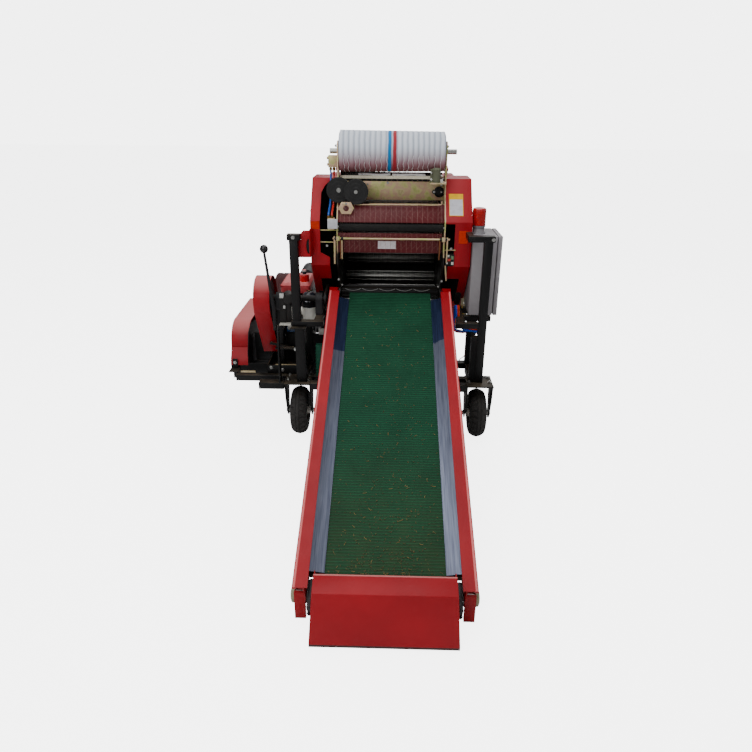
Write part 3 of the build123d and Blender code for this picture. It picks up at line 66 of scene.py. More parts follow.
# Main places and sizes that the pieces share, in millimetres from the mid-plane, the front axle and the floor
NET_Y, NET_Z, NET_HALF, NET_TAPER = 227, 1419, 255, 5.5
CHAMBER_Y, CHAMBER_Z, BOLT_CIRCLE = 440, 950, 305
COVER_CREASE_Y, COVER_CREASE_Z = 90, 1105
FEED_ROLLER = (0, 108, 1074)
FLIGHT_Y, FLIGHT_Z, FLIGHT_RADIUS = 243, 716, 33.4
HEAD_Y, HEAD_Z = 169.5, 689
CONVEYOR_SLOPE = math.radians(22.5)
CONVEYOR_LENGTH = 1601.4
BELT_HALF = 209
# Straw on the belt: from its foot up to its top, clear of the belt's edges, at a height over the axis line
STRAW_FOOT, STRAW_REACH, STRAW_TOP, STRAW_HALF, STRAW_UP = 1575, 1500, 60, 203, 39.2
ROTOR_SHAFT, JACKSHAFT, CRANKSHAFT = (115, 710), (265, 430), (650, 490)
LOW_GUARD_X, LOW_GUARD_WIDTH = -849, 93
WHEEL_X, WHEEL_R = 468, 129
RIGHT, BACK, UP = Vector((1, 0, 0)), Vector((0, 1, 0)), Vector((0, 0, 1))
LEFT, FRONT, DOWN = -RIGHT, -BACK, -UP
SIDES = (-1, 1)
# Along the conveyor: down the slope, and square to it
DOWNHILL = Vector((0, -math.cos(CONVEYOR_SLOPE), -math.sin(CONVEYOR_SLOPE)))
OFF_BELT = Vector((0, -math.sin(CONVEYOR_SLOPE), math.cos(CONVEYOR_SLOPE)))
# Run and rise of the upper slope of the covers' fronts: along it upwards, and square to it
SLOPE_RUN, SLOPE_RISE = 160, 187
COVER_SLOPE = Vector((0, SLOPE_RUN, SLOPE_RISE)).normalized()
OFF_COVER = Vector((0, -SLOPE_RISE, SLOPE_RUN)).normalized()

# Backdrop and light: brightness of floor and world as seen, the world's light, and the softboxes
FLOOR_SEEN, WORLD_SEEN, WORLD_LIGHT = 4.6, 5.2, 0.3
LIGHTS = (  # name, place, width, watts
    ("top", (-0.3, -0.5, 4.4), 3.6, 125.0), ("front", (-1.6, -3.6, 3.0), 2.4, 80.0),
    ("side", (3.6, -1.6, 2.6), 2.4, 20.0), ("behind", (0.6, 3.6, 3.4), 3.0, 60.0),
)
LIT_POINT = Vector((0.15, 0.1, 0.7))
# The camera of the photo: place in metres, yaw, pitch and roll in degrees, lens and sensor in millimetres
CAMERA_PLACE, CAMERA_TURN = (0.1555, -2.6612, 1.5911), (-1.304, 23.154, 0.413)
LENS, SENSOR = 29.48, 36.0


def at(x, y, z):
    """A place given from the mid-plane, the front axle and the floor in millimetres, in the shared frame."""
    return Vector((MID_X + x * MM, AXLE_Y + y * MM, z * MM))


def places(*rows):
    """Places given as rows of x, y, z."""
    return [at(*row) for row in rows]


def on_belt(x, along, up):
    """A place on the conveyor: right of its middle, down from the head drum, above the belt's axis line."""
    return at(x, HEAD_Y, HEAD_Z) + (DOWNHILL * along + OFF_BELT * up) * MM


def on_cover(x, z, out=0.0):
    """A place on the upper slope of the covers' fronts, at a height and that far off the sheet."""
    return at(x, COVER_CREASE_Y + (z - COVER_CREASE_Z) * SLOPE_RUN / SLOPE_RISE, z) + OFF_COVER * out * MM


def round_chamber(x, angle):
    """A place on the bolt circle round the bale chamber's axis."""
    turn = math.radians(angle)
    return at(x, CHAMBER_Y + BOLT_CIRCLE * math.cos(turn), CHAMBER_Z + BOLT_CIRCLE * math.sin(turn))


def linear(code):
    """Linear RGBA of an sRGB hex colour; a linear colour stays as it is."""
    if not isinstance(code, str):
        return code
    values = [int(code[i:i + 2], 16) / 255 for i in (1, 3, 5)]
    return tuple(v / 12.92 if v <= 0.04045 else ((v + 0.055) / 1.055) ** 2.4 for v in values) + (1.0,)


def shade(colour, factor):
    return tuple(min(1.0, c * factor) for c in colour[:3]) + (1.0,)


def colour_property(name, code, description):
    return bpy.props.FloatVectorProperty(
        name=name, description=description, subtype="COLOR", size=4, min=0.0, max=1.0, default=linear(code))


def length_property(name, metres, description):
    return bpy.props.FloatProperty(
        name=name, description=description, subtype="DISTANCE", unit="LENGTH", default=metres,
        min=0.0001, max=1.0)


class BalerFinishes(bpy.types.PropertyGroup):
    """Colours of the machine's finishes."""
    red: colour_property("Red paint", "#960616", "Powder coat of hood and covers")
    frame: colour_property("Frame paint", "#0C0C0D", "Enamel of the chassis")
    zinc: colour_property("Zinc plate", "#958B66", "Yellow chromate over zinc")
    belt: colour_property("Belt", "#14442E", "Ribbed conveyor belt")
    cabinet: colour_property("Cabinet", "#8E8B8E", "Textured grey paint of the cabinet")
    net: colour_property("Net", "#BFC5CE", "Knitted net on the roll")


class BalerSizes(bpy.types.PropertyGroup):
    """Sizes of the repeated details."""
    edge: length_property("Edge", 0.0012, "Rounding of sheared and welded edges")
    rib_pitch: length_property("Rib pitch", 0.0126, "Distance between the belt's cross ribs")
    rib_radius: length_property("Rib radius", 0.0024, "Half the width of a cross rib")
    chain_pitch: length_property("Chain pitch", 0.0254, "Distance between the net's chains of loops")
    straw_bits: bpy.props.IntProperty(
        name="Straw bits", description="Bits of straw left on the belt", default=1500, min=0, max=5000)


def add(tree, kind, inputs=None, **settings):
    """Add a node, set its attributes, and feed its inputs: an output is linked, any other is the value."""
    made = tree.nodes.new(kind)
    for key, value in settings.items():
        setattr(made, key, value)
    for key, source in (inputs or {}).items():
        if isinstance(source, bpy.types.NodeSocket):
            tree.links.new(source, made.inputs[key])
        else:
            made.inputs[key].default_value = source
    return made


def new_material(name, base, specular=0.5, **values):
    """A material with one Principled shader; its name is the real finish's."""
    material = bpy.data.materials.new(name)
    material.use_nodes = True
    tree = material.node_tree
    tree.nodes.clear()
    shader = add(tree, "ShaderNodeBsdfPrincipled", {
        "Base Color": base, "Specular IOR Level": specular, **values})
    add(tree, "ShaderNodeOutputMaterial", {"Surface": shader.outputs[0]})
    return material, tree, shader


def coordinate(tree, axis):
    """The piece's own coordinate along an axis, in metres."""
    place = add(tree, "ShaderNodeTexCoord").outputs["Object"]
    return add(tree, "ShaderNodeSeparateXYZ", {0: place}).outputs[axis]


def object_noise(tree, scale, detail=3.0, roughness=0.55, stretch=None):
    """Noise over the piece's own coordinates; scale is in features per metre."""
    place = add(tree, "ShaderNodeTexCoord").outputs["Object"]
    if stretch:
        place = add(tree, "ShaderNodeMapping", {"Scale": stretch, "Vector": place}).outputs[0]
    return add(tree, "ShaderNodeTexNoise", {
        "Scale": scale, "Detail": detail, "Roughness": roughness, "Vector": place}).outputs["Fac"]


def maths(tree, operation, *terms):
    """The result of a sum; its terms are outputs or numbers."""
    return add(tree, "ShaderNodeMath", dict(enumerate(terms)), operation=operation).outputs[0]


def spread(tree, value, low=0.0, high=1.0, to_low=0.0, to_high=1.0):
    """A value between low and high, mapped evenly to another range."""
    return add(tree, "ShaderNodeMapRange", {
        "Value": value, "From Min": low, "From Max": high, "To Min": to_low, "To Max": to_high}).outputs[0]


def ramp(tree, fac, stops):
    """A colour ramp along fac; stops are (position, colour)."""
    made = add(tree, "ShaderNodeValToRGB", {"Fac": fac})
    for index, (position, colour) in enumerate(stops):
        element = made.color_ramp.elements[index] if index < 2 else made.color_ramp.elements.new(position)
        element.position = position
        element.color = linear(colour)
    return made.outputs["Color"]


def paint_over(tree, shader, colour):
    """Give the shader a colour from an output, and hand it on."""
    tree.links.new(colour, shader.inputs["Base Color"])
    return colour


def mottled(tree, shader, colour, fac, dark, bright):
    """Vary a colour between two brightnesses along fac."""
    stops = [(0.3, shade(colour, dark)), (0.7, shade(colour, bright))]
    return paint_over(tree, shader, ramp(tree, fac, stops))


def mixed(tree, fac, first, second):
    """Blend two colours; each is an output or a plain RGBA."""
    return add(tree, "ShaderNodeMix", {0: fac, 6: first, 7: second}, data_type="RGBA").outputs[2]


def facing_up(tree, low=0.6, high=0.95):
    """How far the surface faces up, from 0 to 1: where dust settles, and where a painted sky highlight goes.
    """
    normal = add(tree, "ShaderNodeNewGeometry").outputs["Normal"]
    return spread(tree, add(tree, "ShaderNodeSeparateXYZ", {0: normal}).outputs["Z"], low, high)


def dusted(tree, shader, colour, dust, amount):
    """Lay a thin patchy dust over what faces up."""
    patches = spread(tree, object_noise(tree, 9.0, detail=6.0), 0.35, 0.7, to_high=amount)
    share = maths(tree, "MULTIPLY", patches, facing_up(tree))
    paint_over(tree, shader, mixed(tree, share, colour, linear(dust)))


def vary_roughness(tree, shader, fac, low, high):
    tree.links.new(spread(tree, fac, to_low=low, to_high=high), shader.inputs["Roughness"])


def bump(tree, shader, fac, distance, strength):
    raised = add(tree, "ShaderNodeBump", {"Distance": distance, "Strength": strength, "Height": fac})
    tree.links.new(raised.outputs[0], shader.inputs["Normal"])


MADE = {}


def once(make):
    """Make each finish once, under its first argument's name."""
    def wrapper(name, *rest, **more):
        if name not in MADE:
            MADE[name] = make(name, *rest, **more)
        return MADE[name]
    return wrapper


@once
def powder_coat(name, code, dust=0.0, sky_highlight=0.0):
    """Powder coat on steel: even colour, orange peel, soft sheen, and dust or a painted sky highlight on what
    faces up.
    """
    colour = linear(code)
    material, tree, shader = new_material(name, colour, 0.22, Roughness=0.45, IOR=1.5)
    varied = mottled(tree, shader, colour, object_noise(tree, 4.0), 0.82, 1.1)
    if dust:
        dusted(tree, shader, varied, "#8B7C66", dust)
    if sky_highlight:
        # painted sky highlight: the paint is made pale pink where it faces up
        sky_lit = mixed(tree, facing_up(tree, 0.45, 1.0), varied, mixed(tree, 0.5, varied, linear("#F09C98")))
        paint_over(tree, shader, mixed(tree, sky_highlight, varied, sky_lit))
    vary_roughness(tree, shader, object_noise(tree, 14.0), 0.36, 0.54)
    # orange peel of powder coat is about 2 mm across
    bump(tree, shader, object_noise(tree, 450.0, detail=1.0), 0.00025, 0.5)
    return material


@once
def chromated_zinc(name, painted_shade_below=0.0):
    """Yellow-chromated zinc plate: straw with green and pink tints, dull metal, and near black below a height
    as painted shade.
    """
    base = bpy.context.scene.baler_finishes.zinc
    material, tree, shader = new_material(name, base, Metallic=0.35, Roughness=0.45)
    plate = paint_over(tree, shader, ramp(tree, object_noise(tree, 14.0, detail=5.0, roughness=0.65), [
        (0.30, "#94845C"), (0.42, "#BCAC80"), (0.50, "#B8947E"), (0.57, "#BAB07A"), (0.70, "#98A256")]))
    # painted shade: near black below the height, for the dark inside of the chamber
    if painted_shade_below:
        above = spread(tree, coordinate(tree, "Z"), painted_shade_below - 0.012, painted_shade_below + 0.012)
        paint_over(tree, shader, mixed(tree, above, linear("#17120F"), plate))
    vary_roughness(tree, shader, object_noise(tree, 60.0), 0.3, 0.55)
    return material


@once
def brushed_steel(name, code, roughness=0.35):
    """Cold-rolled or stainless sheet with rolling lines along its length."""
    colour = linear(code)
    material, tree, shader = new_material(name, colour, Metallic=1.0, Roughness=roughness)
    lines = object_noise(tree, 260.0, detail=2.0, stretch=(1.0, 0.04, 0.04))
    mottled(tree, shader, colour, lines, 0.8, 1.1)
    vary_roughness(tree, shader, lines, roughness - 0.08, roughness + 0.12)
    return material


@once
def matt_cover(name, code, roughness=0.7):
    """Rubber, moulded plastic or rough casting: one colour, fine grain, no shine."""
    colour = linear(code)
    material, tree, shader = new_material(name, colour, 0.25, Roughness=roughness)
    varied = mottled(tree, shader, colour, object_noise(tree, 30.0), 0.75, 1.25)
    dusted(tree, shader, varied, "#6E6250", 0.12)
    bump(tree, shader, object_noise(tree, 900.0, detail=2.0), 0.0002, 0.6)
    return material


@once
def black_with_painted_glints(name):
    """Mill-black steel with painted glints: short bright strokes about 40 mm apart."""
    material, tree, shader = new_material(name, linear("#120F0D"), 0.05, Roughness=0.6)
    # the light strokes are painted glints, set where the noise is high
    stroke = maths(tree, "PINGPONG", coordinate(tree, "X"), 0.02)
    share = maths(tree, "MULTIPLY", spread(tree, stroke, 0.013, 0.019), object_noise(tree, 55.0))
    paint_over(tree, shader, ramp(tree, share, [(0.44, "#0C0A09"), (0.62, "#A89E94")]))
    return material


@once
def gloss_plastic(name, code):
    """Moulded glossy plastic with a faint flow pattern."""
    colour = linear(code)
    material, tree, shader = new_material(name, colour, Roughness=0.22, IOR=1.49)
    mottled(tree, shader, colour, object_noise(tree, 40.0), 0.85, 1.1)
    bump(tree, shader, object_noise(tree, 120.0, detail=1.0), 0.0001, 0.4)
    return material


@once
def knitted_net(name, code):
    """Knitted polyethylene net: a satin thread with a little twist."""
    colour = linear(code)
    material, tree, shader = new_material(name, colour, Roughness=0.6, IOR=1.5)
    mottled(tree, shader, colour, object_noise(tree, 220.0), 0.75, 1.2)
    return material


@once
def flat_print(name, code):
    """Blank vinyl plate: one colour, slightly soiled, semi-gloss."""
    colour = linear(code)
    material, tree, shader = new_material(name, colour, 0.15, Roughness=0.5, IOR=1.5)
    soil = object_noise(tree, 60.0, detail=5.0)
    paint_over(tree, shader, ramp(tree, soil, [(0.3, shade(colour, 0.8)), (0.6, colour)]))
    return material


@once
def dry_straw(name, code):
    """Dry stalks and chaff: straw yellow to brown, from bit to bit by where they lie."""
    colour = linear(code)
    material, tree, shader = new_material(name, colour, Roughness=0.7)
    paint_over(tree, shader, ramp(tree, object_noise(tree, 55.0, detail=2.0), [
        (0.3, shade(colour, 0.5)), (0.5, colour), (0.7, shade(colour, 1.7))]))
    return material


@once
def wound_net(name, first_chain, pitch):
    """Net wound tight: bright bands between grey chains, two marker stripes, and a painted red bounce light
    that darkens its lower side.
    """
    base = bpy.context.scene.baler_finishes.net
    none, full = (0, 0, 0, 1), (1, 1, 1, 1)
    material, tree, shader = new_material(name, base, 0.2, Roughness=0.6, IOR=1.5)
    wander = maths(tree, "MULTIPLY_ADD", object_noise(tree, 18.0, detail=2.0), 0.006, coordinate(tree, "X"))
    band = maths(tree, "WRAP", wander, first_chain + pitch, first_chain)
    across = spread(tree, band, first_chain, first_chain + pitch)
    threads = object_noise(tree, 300.0, detail=2.0, stretch=(1.0, 0.02, 0.02))
    clear = ramp(tree, across, [
        (0.0, "#8E98AA"), (0.10, "#A4ACBA"), (0.30, shade(base, 1.25)), (0.70, shade(base, 1.2)),
        (0.92, "#A0A8B6")])
    white = mixed(tree, ramp(tree, threads, [(0.3, none), (0.7, (0.35, 0.35, 0.35, 1))]), clear, base)
    # painted bounce light and shade: the roll turns dark red towards its bottom
    height = spread(tree, coordinate(tree, "Z"), (NET_Z - 100) * MM, (NET_Z + 100) * MM)
    red_bounce_share = ramp(tree, height, [
        (0.0, full), (0.22, (0.8, 0.8, 0.8, 1)), (0.45, (0.32, 0.32, 0.32, 1)), (0.62, none)])
    below = ramp(tree, height, [(0.0, "#6A2024"), (0.3, "#8C4246"), (0.6, "#A08A8A")])
    colour = mixed(tree, red_bounce_share, white, below)
    stripes = spread(tree, wander, MID_X - 0.047, MID_X + 0.053)
    for low, high, code in ((0.30, 0.46, "#1470A8"), (0.54, 0.70, "#9A2832")):
        mask = ramp(tree, stripes, [
            (low - 0.03, none), (low + 0.02, full), (high - 0.02, full), (high + 0.03, none)])
        colour = mixed(tree, mask, colour, linear(code))
    paint_over(tree, shader, colour)
    bump(tree, shader, threads, 0.0006, 0.6)
    return material


@once
def ribbed_belt(name, brightness=1.0):
    """PVC belt: dark green, matt, mottled, browner where straw rubs near its foot; its brightness sets
    painted shade between the ribs and a painted highlight on them.
    """
    base = shade(bpy.context.scene.baler_finishes.belt, brightness)
    material, tree, shader = new_material(name, base, 0.12, Roughness=0.6, IOR=1.5)
    varied = ramp(tree, object_noise(tree, 7.0, detail=5.0), [
        (0.35, shade(base, 0.85)), (0.5, base), (0.75, shade(base, 1.2))])
    near_foot = spread(tree, coordinate(tree, "Y"), on_belt(0, 900, 0).y, on_belt(0, 1600, 0).y, to_high=0.45)
    patches = maths(tree, "MULTIPLY", near_foot, object_noise(tree, 16.0, detail=6.0))
    paint_over(tree, shader, mixed(tree, patches, varied, linear("#4A4420")))
    bump(tree, shader, object_noise(tree, 700.0, detail=2.0), 0.0002, 0.5)
    return material


@once
def filmed_stainless(name):
    """Stainless sheet: light and dull below, still under dark blue film towards the head end."""
    material, tree, shader = new_material(name, linear("#8A93A8"), Metallic=0.6, Roughness=0.42)
    # the film's torn end runs aslant
    aslant = maths(tree, "MULTIPLY_ADD", coordinate(tree, "X"), -0.13, coordinate(tree, "Y"))
    torn = maths(tree, "MULTIPLY_ADD", object_noise(tree, 25.0), 0.05, aslant)
    lines = object_noise(tree, 200.0, detail=2.0, stretch=(1.0, 0.03, 0.03))
    bare = ramp(tree, lines, [(0.3, "#5C6276"), (0.7, "#7E8498")])
    film = ramp(tree, lines, [(0.3, "#222C48"), (0.7, "#38466C")])
    paint_over(tree, shader, mixed(tree, spread(tree, torn, 0.069, 0.075), bare, film))
    vary_roughness(tree, shader, object_noise(tree, 30.0), 0.24, 0.42)
    return material


def finish(slot):
    """The material of a slot of the record, or of a finish that only the added pieces have."""
    colours = bpy.context.scene.baler_finishes
    make, *values = {
        "red_paint": (powder_coat, "powder_coat_red", colours.red),
        # red paint with a painted sky highlight: pale pink where it faces up
        "bleached_red": (powder_coat, "powder_coat_bleached", colours.red, 0.0, 1.0),
        "dark_red_cast": (powder_coat, "enamel_dark_red", "#3A0A0C"),
        "grey_paint": (powder_coat, "powder_coat_grey", colours.cabinet),
        # the cream enamel is lifted to near white, partly painted light for a part that sits in shade
        "cream_steel": (powder_coat, "enamel_cream", "#FFFAEC"),
        "rim_paint": (powder_coat, "rim_enamel", "#B9B6AE"),
        "green_paint": (powder_coat, "enamel_green", "#0A4A36"),
        "black_paint": (powder_coat, "enamel_black", colours.frame, 0.3),
        "zinc_plate": (chromated_zinc, "chromated_zinc"),
        "stainless": (brushed_steel, "stainless_sheet", "#7D8699", 0.42),
        "bare_steel": (brushed_steel, "drawn_steel", "#A2A29E", 0.36),
        "chromed_rod": (brushed_steel, "hard_chrome", "#C9CBD0", 0.14),
        "brass": (brushed_steel, "brass_fitting", "#8A6A3A", 0.3),
        "coppered": (brushed_steel, "coppered_rod", "#8A5A3C", 0.35),
        "dark_steel": (matt_cover, "scale_black_steel", "#191716", 0.5),
        "cast_grey": (matt_cover, "cast_iron_grey", "#262628", 0.6),
        "engine_grey": (matt_cover, "cast_iron_painted", "#1D1E20", 0.5),
        "green_belt": (ribbed_belt, "pvc_belt_green"),
        "belt_rubber": (matt_cover, "rubber_black", "#0E0E0E", 0.6),
        "caster_rubber": (matt_cover, "rubber_caster", "#222222", 0.65),
        "tyre_rubber": (matt_cover, "tyre_compound", "#2C2A29", 0.75),
        "black_plastic": (matt_cover, "moulded_black", "#101012", 0.5),
        "hose_plastic": (gloss_plastic, "polyurethane_blue", "#2A8FD0"),
        "beacon_red": (gloss_plastic, "polycarbonate_red", "#A80E10"),
        "white_plastic": (gloss_plastic, "nylon_white", "#B8B8B4"),
        "net_film": (knitted_net, "knitted_net", "#C4CAD2"),
        "white_net": (knitted_net, "net_white", "#E6E4E4"),
    }[slot]
    return make(*values)


def settle(piece, material, body, replaced=()):
    """Give a finished piece its material and body, and let it stand for the nodes it covers."""
    piece.data.materials.clear()
    for entry in material if isinstance(material, (list, tuple)) else [material]:
        piece.data.materials.append(entry)
    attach(piece, body)
    if replaced:
        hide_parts(*replaced)
    return piece


def as_object(name, mesh):
    """A mesh as an object at the origin."""
    piece = bpy.data.objects.new(name, mesh)
    bpy.context.scene.collection.objects.link(piece)
    return piece


def soften(mesh, angle):
    """Soft shading up to an angle in degrees."""
    mesh.shade_smooth()
    mesh.set_sharp_from_angle(angle=math.radians(angle))


def mesh_piece(name, bm, smooth_angle=35.0):
    """Turn a bmesh into an object at the origin with soft shading up to an angle."""
    bmesh.ops.recalc_face_normals(bm, faces=bm.faces)
    mesh = bpy.data.meshes.new(name)
    bm.to_mesh(mesh)
    bm.free()
    soften(mesh, smooth_angle)
    return as_object(name, mesh)


def apply_modifiers(piece):
    """Replace the piece's mesh by its evaluated one and drop the modifiers."""
    evaluated = piece.evaluated_get(bpy.context.evaluated_depsgraph_get())
    mesh = bpy.data.meshes.new_from_object(evaluated)
    old = piece.data
    piece.modifiers.clear()
    piece.data = mesh
    bpy.data.meshes.remove(old)


def round_edges(piece, width, segments=2):
    """Round the sharp edges as real sheared or moulded ones are."""
    bevel = piece.modifiers.new("edge", "BEVEL")
    bevel.width = width
    bevel.segments = segments
    bevel.limit_method = "ANGLE"
    bevel.angle_limit = math.radians(40.0)
    bevel.use_clamp_overlap = True
    apply_modifiers(piece)
    soften(piece.data, 30.0)
    return piece


def dress(node, width=None, paint=None):
    """Replace a solid by a copy with its facets joined and its edges rounded, in the finish of its slot."""
    bm = bmesh.new()
    bm.from_mesh(NODES[node].data)
    bmesh.ops.remove_doubles(bm, verts=bm.verts, dist=0.00002)
    bmesh.ops.dissolve_limit(bm, angle_limit=math.radians(1.0), verts=bm.verts, edges=bm.edges)
    piece = round_edges(mesh_piece(node + "_finished", bm), width or bpy.context.scene.baler_sizes.edge)
    return settle(piece, paint or finish(SLOT_OF[node]), BODY_OF[node], [node])


def solid(name, slot, *shapes, paint=None, edge=0.0, body="chassis", replaced=(), smooth=35.0):
    """One piece made of shapes, each (function, its values); paint is a finish or a name in its table."""
    bm = bmesh.new()
    for make, *values in shapes:
        make(bm, *values)
    piece = mesh_piece(name, bm, smooth)
    if edge:
        round_edges(piece, edge)
    if paint is None or isinstance(paint, str):
        paint = finish(paint or slot)
    return settle(piece, paint, body, replaced)


def paint_shade_inside(piece, middle, area=0.0, beyond=0.0):
    """Give a piece's second material, a near-black painted shade, to its faces that look at a middle, that
    far from the mid-plane.
    """
    for face in piece.data.polygons:
        inward = (middle - face.center).dot(face.normal) > 0
        if inward and face.area > area and abs(face.center.x - MID_X) >= beyond:
            face.material_index = 1


def block(bm, x0, x1, y0, y1, z0, z1):
    """Add a square-edged block between two corners given in millimetres."""
    low, high = at(x0, y0, z0), at(x1, y1, z1)
    for vert in bmesh.ops.create_cube(bm, size=1.0)["verts"]:
        vert.co = Vector([(low[i] + high[i]) / 2 + vert.co[i] * (high[i] - low[i]) for i in range(3)])


def blocks(*rows):
    """Blocks as shapes of a piece; rows are x0, x1, y0, y1, z0, z1."""
    return [(block, *row) for row in rows]


def skin(bm, rings):
    """Join rings of corners by faces; a ring of one corner is a tip."""
    for low, high in zip(rings, rings[1:]):
        sides = max(len(low), len(high))
        for step in range(sides):
            after = (step + 1) % sides
            bm.faces.new(list(dict.fromkeys((
                low[step % len(low)], low[after % len(low)],
                high[after % len(high)], high[step % len(high)]))))


def turned(bm, profile, place, facing, sides=40, shape=None):
    """Add a turned shape on an axis through a place; profile is (height, radius) in mm, shape trims it."""
    turn = facing.to_track_quat("Z", "Y").to_matrix()
    closed = profile[0] == profile[-1]
    rings = []
    for index, (height, radius) in enumerate(profile[:-1] if closed else profile):
        if radius < 0.01:
            rings.append([bm.verts.new(place + turn @ Vector((0, 0, height * MM)))])
            continue
        ring = []
        for step in range(sides):
            angle = 2 * math.pi * step / sides
            real = radius + (shape(index, step) if shape else 0.0)
            ring.append(bm.verts.new(place + turn @ Vector(
                (real * math.cos(angle) * MM, real * math.sin(angle) * MM, height * MM))))
        rings.append(ring)
    skin(bm, rings + rings[:1] if closed else rings)
    for ring in () if closed else (rings[0], rings[-1]):
        if len(ring) > 1:
            bm.faces.new(ring)


def tube(bm, line, radius, sides=10):
    """Add a round rod or hose along a line of places, with flat ends; radius in millimetres."""
    rings = []
    normal = None
    for index, place in enumerate(line):
        along = (line[min(index + 1, len(line) - 1)] - line[max(index - 1, 0)]).normalized()
        if normal is None:
            normal = along.orthogonal().normalized()
        normal = (normal - along * normal.dot(along)).normalized()
        side = along.cross(normal)
        rings.append([bm.verts.new(place + (normal * math.cos(2 * math.pi * step / sides)
                                            + side * math.sin(2 * math.pi * step / sides)) * radius * MM)
                      for step in range(sides)])
    skin(bm, rings)
    bm.faces.new(rings[0])
    bm.faces.new(rings[-1])


def soft_line(corners, reach, steps=6):
    """Places along a line whose corners are rounded off over a reach in metres."""
    line = [corners[0]]
    for before, here, after in zip(corners, corners[1:], corners[2:]):
        start = here + (before - here).normalized() * min(reach, (before - here).length / 2)
        end = here + (after - here).normalized() * min(reach, (after - here).length / 2)
        for step in range(steps + 1):
            share = step / steps
            line.append(start.lerp(here, share).lerp(here.lerp(end, share), share))
    return line + [corners[-1]]


def prism(bm, outline, push):
    """Add a flat shape given by its corners, pushed to its thickness; the push is in metres."""
    low = [bm.verts.new(place) for place in outline]
    high = [bm.verts.new(place + push) for place in outline]
    bm.faces.new(low)
    bm.faces.new(high)
    skin(bm, [low, high])


def plate_on(bm, corner, across, along, off, thick=0.5):
    """Add a thin plate with its corner, two edges and thickness given; edges as vectors in metres."""
    prism(bm, [corner, corner + across, corner + across + along, corner + along], off * thick * MM)


def rods(*runs):
    """Bent rods or hoses as shapes of a piece; runs are (radius, place, place ...)."""
    return [(tube, soft_line(places(*line), 0.012, 4), radius, 12) for radius, *line in runs]


def geometry_tree(name, inputs):
    """A geometry tree with named inputs besides the geometry; gives the tree and its input node."""
    tree = bpy.data.node_groups.new(name, "GeometryNodeTree")
    tree.interface.new_socket("Geometry", in_out="INPUT", socket_type="NodeSocketGeometry")
    for label, default in inputs:
        socket = tree.interface.new_socket(label, in_out="INPUT", socket_type="NodeSocketFloat")
        socket.default_value = default
    tree.interface.new_socket("Geometry", in_out="OUTPUT", socket_type="NodeSocketGeometry")
    return tree, add(tree, "NodeGroupInput")


def end_tree(tree, instances, material):
    """Close a geometry tree: real meshes in one material."""
    real = add(tree, "GeometryNodeRealizeInstances", {"Geometry": instances}).outputs[0]
    coloured = add(tree, "GeometryNodeSetMaterial", {"Geometry": real, "Material": material}).outputs[0]
    add(tree, "NodeGroupOutput", {0: coloured})
    return tree


def cylinder(tree, vertices, radius, depth, segments=1):
    return add(tree, "GeometryNodeMeshCylinder", {
        "Vertices": vertices, "Radius": radius, "Depth": depth, "Side Segments": segments}).outputs[0]


def at_rows(tree, points, piece, material):
    """Set a piece at each seeded point, turned to its facing and scaled to its size, and close the tree."""
    facing, size = (
        add(tree, "GeometryNodeInputNamedAttribute", {"Name": label}, data_type=kind).outputs[0]
        for label, kind in (("facing", "FLOAT_VECTOR"), ("size", "FLOAT")))
    rotation = add(tree, "FunctionNodeAlignRotationToVector", {"Vector": facing}, axis="Z").outputs[0]
    placed = add(tree, "GeometryNodeInstanceOnPoints", {
        "Points": points, "Instance": piece, "Rotation": rotation, "Scale": size})
    return end_tree(tree, placed.outputs[0], material)


def grow(source, tree, values=None):
    """Run a geometry tree on an object and keep the result as its plain mesh."""
    modifier = source.modifiers.new("repeat", "NODES")
    modifier.node_group = tree
    for item in tree.interface.items_tree:
        if item.in_out == "INPUT" and item.name in (values or {}):
            modifier[item.identifier] = values[item.name]
    apply_modifiers(source)
    for face in source.data.polygons:
        face.material_index = 0
    soften(source.data, 35.0)
    return source


def seeded(name, rows):
    """Loose points that carry a facing and a size in metres; rows are (place, facing, size)."""
    mesh = bpy.data.meshes.new(name)
    mesh.from_pydata([place for place, _, _ in rows], [], [])
    mesh.attributes.new("facing", "FLOAT_VECTOR", "POINT")
    mesh.attributes.new("size", "FLOAT", "POINT")
    for index, (_, direction, width) in enumerate(rows):
        mesh.attributes["facing"].data[index].vector = direction
        mesh.attributes["size"].data[index].value = width
    return as_object(name, mesh)


def bolt_tree(material):
    """A hexagon head on its washer at each point, turned to its facing and scaled to its width."""
    tree, source = geometry_tree("hexagon_heads", [("Head height", 0.45), ("Washer radius", 0.68)])
    both = add(tree, "GeometryNodeJoinGeometry")
    for piece, height in ((cylinder(tree, 6, 0.52, source.outputs["Head height"]), 0.22),
                          (cylinder(tree, 18, source.outputs["Washer radius"], 0.16), 0.04),
                          (cylinder(tree, 10, 0.28, 0.75), 0.3)):
        moved = add(tree, "GeometryNodeTransform", {"Translation": (0, 0, height), "Geometry": piece})
        tree.links.new(moved.outputs[0], both.inputs[0])
    return at_rows(tree, source.outputs[0], both.outputs[0], material)


def bolts(name, body, rows, code="#A9A9A6"):
    """Bolt heads on one body; rows are (place, facing, width across flats in millimetres)."""
    material = brushed_steel("zinc_bolt_" + code[1:].lower(), code, 0.3)
    points = seeded(name, [(place, facing, width * MM) for place, facing, width in rows])
    piece = grow(points, bolt_tree(material))
    return settle(piece, material, body)


def heads(facing, *rows):
    """Rows of bolt heads that face one way, given as x, y, z and width."""
    return [(at(*row[:3]), facing, row[3]) for row in rows]


def mirrored(rows):
    """The same rows on both sides of the mid-plane."""
    swap = Matrix.Diagonal((-1, 1, 1))
    middle = Vector((MID_X, 0, 0))
    return rows + [(middle + swap @ (place - middle), swap @ facing, width) for place, facing, width in rows]


